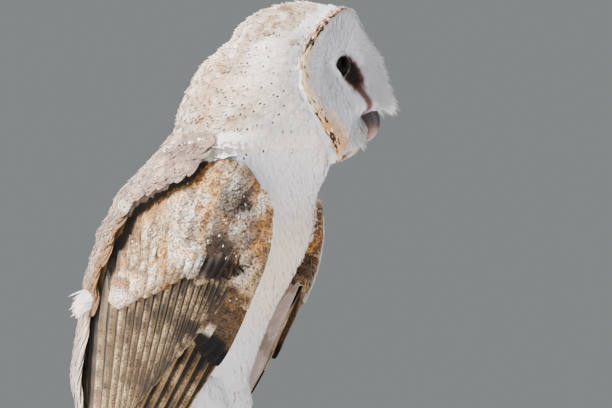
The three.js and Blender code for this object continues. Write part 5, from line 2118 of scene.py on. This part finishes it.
EYE_GLASS = eye_glass()
eyes = {word: make_eye(word, side) for word, side in SIDES.items()}

# Each half of the bill from its base: places along it, and its radii there.
UPPER_BILL = [(80, 0, 343), (90, 0, 340.5), (96.5, 0, 333.5), (98.2, 0, 326), (95.2, 0, 319)]
UPPER_RADII = [4.6, 5.4, 5.0, 3.4, 1.0]
LOWER_BILL, LOWER_RADII = [(79, 0, 329.5), (86, 0, 327.5), (92, 0, 323.6)], [4.0, 3.4, 1.3]
NOSTRIL_X, NOSTRIL_Z, NOSTRIL_DEPTH = 94.5, 336.5, 0.9


def hooked(share, angle, wide):
    """The upper bill, narrower towards its hook, with a nostril in each side."""
    x, y, z = tube_shape(UPPER_BILL, UPPER_RADII, 0.05)(share, angle, wide).T
    y = y * (lerp(0.9, 0.78, share) * (1 - 0.12 * rise(share, 0.7, 1)))
    nostril = np.hypot((x - NOSTRIL_X) / 1.6, (z - NOSTRIL_Z) / 1.1)
    y = y - np.sign(y) * NOSTRIL_DEPTH * np.exp(-(nostril**2)) * (np.abs(y) > 1.5)
    return joined(x, y, z)


BILL_HORN = horn("bill_horn", "b98f84", "35292f", 0.3185, 0.3315, 0.5)
bill_above = moulded("bill_above", 40, 60, on_head(hooked), BILL_HORN)
lower_bill = tube_shape(LOWER_BILL, LOWER_RADII, 0.12, flat=0.7)
bill_below = moulded("bill_below", 32, 36, on_head(lower_bill), BILL_HORN)


# ---------------------------------------------------------------- feet
PERCH_Z, PERCH_RADIUS = 92, 18
PALM_X, PALM_Y, PALM_Z, PALM_REACH = 0.5, 16, 114.8, (9.5, 8, 4.6)
TOE_BASE, TOE_END = 4.1, 3.1
# Each toe's number, 1 forwards or -1 back, how far round the perch it reaches, how far it splays.
TOES = [(1, -1, 74, -3), (2, 1, 82, -6), (3, 1, 96, 5), (4, -1, 84, 9)]
TOE_START, SPLAY_START, GAP, SKIN_GAP = 12, 0.35, 0.3, 0.25
PAD_STEP, PAD_HEIGHT = 26, 0.45  # degrees round the perch, and mm
CLAW_LENGTH, CLAW_RADIUS, CLAW_TIP, CLAW_LIFT, CLAW_HOOK, CLAW_ROOT = 15, 2.3, 0.35, 1.4, 3.8, 1.2


def toe_path(ahead, wrap, splay, side):
    """Places along a toe, round the perch."""
    around = PERCH_RADIUS + TOE_BASE + GAP
    share = np.linspace(0, 1, 6)
    turn = np.radians(lerp(TOE_START, wrap, share))
    sideways = side * (PALM_Y + splay * (SPLAY_START + share))
    return joined(ahead * around * np.sin(turn), sideways, PERCH_Z + around * np.cos(turn))


def make_foot(word, side):
    palm = ball_shape((PALM_X, side * PALM_Y, PALM_Z), PALM_REACH)
    forms = [moulded(f"scaled_foot_{word}", 32, 20, palm)]
    for _, ahead, wrap, splay in TOES:
        toe = tube_shape(toe_path(ahead, wrap, splay, side), [TOE_BASE, TOE_END], 0.1)
        forms.append(moulded("toe_form", 24, 40, toe))
    foot = fused(f"scaled_foot_{word}", forms, 0.9, 4)
    # pads under the toes, and no skin inside the perch
    places = places_of(foot.data)
    off = (places - np.array([0, 0, PERCH_Z])) * np.array([1, 0, 1])
    turn = np.degrees(np.arctan2(np.abs(off[:, 0]), off[:, 2]))
    pads = PAD_HEIGHT * np.sin(np.radians(turn * 360 / PAD_STEP)) * rise(turn, 18, 30)
    push = unit(off)
    places = places + push * pads[:, None] * rise(np.hypot(off[:, 0], off[:, 2]), 20, 24)[:, None]
    out = np.hypot(places[:, 0], places[:, 2] - PERCH_Z)
    short = np.maximum(0, PERCH_RADIUS + SKIN_GAP - out)
    put_places(foot.data, places + push * short[:, None])
    foot.data.materials.append(SCALED_SKIN)
    return foot


def scaled_skin():
    f = Finish("scaled_skin", Roughness=0.55, Specular_IOR_Level=0.35)
    scales = f.node("ShaderNodeTexVoronoi", {"feature": "DISTANCE_TO_EDGE"}, Scale=620).outputs["Distance"]
    plates = f.ramp(scales, 0.02, 0.16)
    lumps = f.noise(210, 3)
    colour = f.mix(f.ramp(lumps, 0.35, 0.7), shade("a38d7c"), shade("c9b5a2"))
    f.colour(f.mix(plates, shade("75604f"), colour))
    f.bump(plates, 0.5, 0.0004)
    return f.material


SCALED_SKIN = scaled_skin()
CLAW_HORN = horn("claw_horn", "2a2320", "4d423b", 0.07, 0.11, 0.3)
feet = {word: make_foot(word, side) for word, side in SIDES.items()}


def make_claw(word, side, digit, ahead, wrap, splay):
    path = toe_path(ahead, wrap, splay, side)
    end, along = path[-1], unit(path[-1] - path[-2])
    out = unit(np.array([end[0], 0, end[2] - PERCH_Z]))
    share = np.array([0, 0.35, 0.7, 1])
    points = end + np.outer((CLAW_LENGTH + CLAW_ROOT) * share - CLAW_ROOT, along)
    points = points + np.outer(CLAW_LIFT * np.sin(math.pi * share) - CLAW_HOOK * share**2, out)
    shape = tube_shape(points, lerp(CLAW_RADIUS, CLAW_TIP, share**1.3), 0.04)
    return moulded(f"horn_claw_{word}_{digit}", 20, 36, shape, CLAW_HORN)


claws = {
    f"{word}_{digit}": make_claw(word, side, digit, ahead, wrap, splay)
    for word, side in SIDES.items()
    for digit, ahead, wrap, splay in TOES
}


# ---------------------------------------------------------------- perch and stand
PERCH_PATH = [(5, -96, 88), (1, -55, 91), (0, 0, 92), (0, 50, 92.5), (6, 96, 98)]
STUB_PATH = [(4, 66, 98), (17, 72, 113), (28, 75, 131)]
STUB_X, STUB_Y, STUB_FROM_Z = 20, 74, 104
BASE_RADIUS, BASE_HEIGHT = 96, 18
ROD_Y, ROD_RADIUS, ROD_FOOT, ROD_TOP, COLLAR_RADIUS = 46, 3, 10.3, 86, 9


def make_perch():
    middle = path_through(PERCH_PATH)

    def branch(share, angle, wide):
        # the sawn ends are flat: the ball's poles become discs
        along = np.clip((share - 0.06) / 0.88, 0, 1)
        end = np.minimum(np.minimum(share, 1 - share) / 0.06, 1)
        centre = middle(along)
        far = rise(np.abs(centre[:, 1]), 34, 60)
        swell = 1.4 * far * np.sin(4 * math.pi * along + 2 * np.sin(angle))
        radius = (PERCH_RADIUS + swell - 0.3) * end
        ring = joined(np.cos(angle), 0, np.sin(angle))
        return centre + ring * radius[:, None]

    stub = tube_shape(STUB_PATH, [10.6, 7.8, 6.2], 0.05)
    forms = [moulded("branch", 72, 120, branch), moulded("stub_form", 36, 40, stub)]
    perch = fused("branch", forms, 1.3, 2)
    # cracks and grain run along the branch, and along its stub
    places, normals = places_of(perch.data), normals_of(perch.data)
    x, y, z = places.T
    on_stub = (x > 14) & (z > STUB_FROM_Z)
    along = np.where(on_stub, z * 0.9, y)
    turn = np.where(on_stub, np.arctan2(y - STUB_Y, x - STUB_X), np.arctan2(z - PERCH_Z, x))
    grain = joined(np.cos(turn) * 14, along * 0.16, np.sin(turn) * 14)
    cracks = np.abs(noise(grain, 3.2, 601, 3))
    lumps = noise(places, 16, 602, 2)
    sawn = np.abs(normals[:, 1]) > 0.8
    depth = -0.75 * (1 - rise(cracks, 0.0, 0.16)) + 0.5 * np.minimum(lumps, 0)
    depth = np.where(sawn, 0.1 * depth, depth)
    put_places(perch.data, places + normals * depth[:, None])
    perch.data.materials.append(weathered_wood())
    return perch


def weathered_wood():
    f = Finish("weathered_wood", Roughness=0.85, Specular_IOR_Level=0.2)
    stretched = f.place(1.0, 0.12, 1.0)
    fibre = f.noise(420, 5, stretched, 0.6)
    streak = f.noise(90, 3, stretched)
    lumps = f.noise(38, 4)
    colour = f.mix(f.ramp(streak, 0.3, 0.7), shade("8f8375"), shade("b7ab9b"))
    colour = f.mix(f.ramp(lumps, 0.5, 0.75, 0.0, 0.6), colour, shade("6f5f50"))
    colour = f.mix(f.ramp(fibre, 0.5, 0.34, 0.0, 0.75), colour, shade("40352c"))
    f.colour(colour)
    f.bump(fibre, 0.7, 0.0006)
    return f.material


def dark_wood():
    f = Finish("stained_wood", Roughness=0.36, Coat_Weight=0.35, Coat_Roughness=0.18)
    board = f.place(0.07, 1.0, 1.0)
    grain = f.noise(230, 5, board, 0.62)
    pores = f.noise(1500, 2, board)
    colour = f.mix(f.ramp(grain, 0.35, 0.68), shade("3a2519"), shade("5b3c29"))
    colour = f.mix(f.ramp(pores, 0.42, 0.3, 0.0, 0.7), colour, shade("1d120c"))
    f.colour(colour)
    f.bump(pores, 0.2, 0.0002)
    return f.material


def aged_brass():
    f = Finish("aged_brass", Metallic=1.0)
    turned_lines = f.noise(1400, 2, f.place(0.1, 0.1, 1.0))
    tarnish = f.noise(120, 4)
    f.colour(f.mix(f.ramp(tarnish, 0.4, 0.7), shade("b9985c"), shade("8a6c3d")))
    f.put(f.surface.inputs["Roughness"], f.ramp(turned_lines, 0.3, 0.7, 0.24, 0.42))
    f.bump(turned_lines, 0.08, 0.0002)
    return f.material


def turned_piece(name, profile, y, steps, finish):
    """A profile of radius and height pairs, spun round an upright axis at y."""
    form = bmesh.new()
    corners = [form.verts.new((radius * MM, 0, height * MM)) for radius, height in profile]
    edges = [form.edges.new(pair) for pair in zip(corners, corners[1:])]
    bmesh.ops.spin(
        form, geom=corners + edges, axis=(0, 0, 1), cent=(0, 0, 0), steps=steps, angle=2 * math.pi,
        use_merge=True,
    )
    bmesh.ops.remove_doubles(form, verts=form.verts, dist=1e-6)
    bmesh.ops.recalc_face_normals(form, faces=form.faces)
    bmesh.ops.translate(form, verts=form.verts, vec=(0, y * MM, 0))
    piece = finished(name, form, finish)
    crease = piece.modifiers.new("edges", "BEVEL")
    crease.width = 0.4 * MM
    crease.segments = 2
    crease.limit_method = "ANGLE"
    return piece


def make_stand():
    """The base, with a rounded and stepped edge, and two rods with a collar each."""
    r, h = BASE_RADIUS, BASE_HEIGHT
    disc = [(0, 0), (r - 1, 0), (r, 1), (r, 11), (r - 2, 13), (r - 3, h - 2.5), (r - 5.5, h), (0, h)]
    base = turned_piece("round_base", disc, 0, 96, dark_wood())
    brass = aged_brass()
    r, collar = ROD_RADIUS, COLLAR_RADIUS
    rod = [
        (0, ROD_FOOT), (r, ROD_FOOT), (r, h + 0.3), (collar, h + 0.3), (collar, h + 2.1),
        (collar - 0.8, h + 2.9), (r + 0.6, h + 2.9), (r, h + 3.6), (r, ROD_TOP), (0, ROD_TOP),
    ]
    return base, {
        word: turned_piece(f"brass_rod_{word}", rod, side * ROD_Y, 32, brass)
        for word, side in SIDES.items()
    }


perch = make_perch()
base, rods = make_stand()


# ---------------------------------------------------------------- floor
def make_floor():
    """A plain pale floor."""
    f = Finish("floor_paint", Roughness=0.9)
    f.colour(f.mix(f.ramp(f.noise(3, 2), 0.3, 0.7), shade("d5d4d1"), shade("dad9d6")))
    form = bmesh.new()
    bmesh.ops.create_grid(form, x_segments=1, y_segments=1, size=2.2)
    floor = finished("floor", form, f.material)


make_floor()

# ---------------------------------------------------------------- what each piece stands for
LEGS = ["thigh_right", "thigh_left", "tarsus_right", "tarsus_left"]
REPLACED = [
    (skin, "crown_feathers", ["head", "neck", "trunk", *LEGS]),
    (face_coat, "face_feathers", ["facial_disc"]),
    (face_fringe[0], "face_feathers", []),
    (face_fringe[1], "face_feathers", []),
    (ruff, "face_feathers", []),
    (head_coat, "crown_feathers", []),
    (head_dots, "crown_feathers", []),
    (shoulder_ruffle, "breast_feathers", []),
    (tuft, "back_feathers", []),
    (breast_coat, "breast_feathers", []),
    (mantle_coat, "back_feathers", ["mantle"]),
    (mantle_marks, "back_feathers", []),
    (rump_coat, "back_feathers", ["rump"]),
    (tail, "flight_feathers", ["tail"]),
    (bill_above, "bill", ["bill_upper"]),
    (bill_below, "bill", ["bill_lower"]),
    (perch, "bark", ["perch"]),
    (base, "base_wood", ["stand_base"]),
]
for word in SIDES:
    REPLACED += [
        (coverts[word], "wing_coverts", [f"wing_{word}_coverts"]),
        (greater_coverts[word], "wing_coverts", []),
        (edges[word], "wing_coverts", []),
        (linings[word], "wing_coverts", []),
        (flights[word], "flight_feathers", [f"wing_{word}_primaries", f"wing_{word}_secondaries"]),
        (eyes[word], "eyes", [f"eye_{word}"]),
        (rods[word], "rod_brass", [f"stand_rod_{word}"]),
        (feet[word], "toes", [f"foot_{word}"]),
    ]
REPLACED += [(claw, "claws", [f"claw_{toe}"]) for toe, claw in claws.items()]
for piece, slot, nodes in REPLACED:
    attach(piece, "root")
    if nodes:
        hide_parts(*nodes)
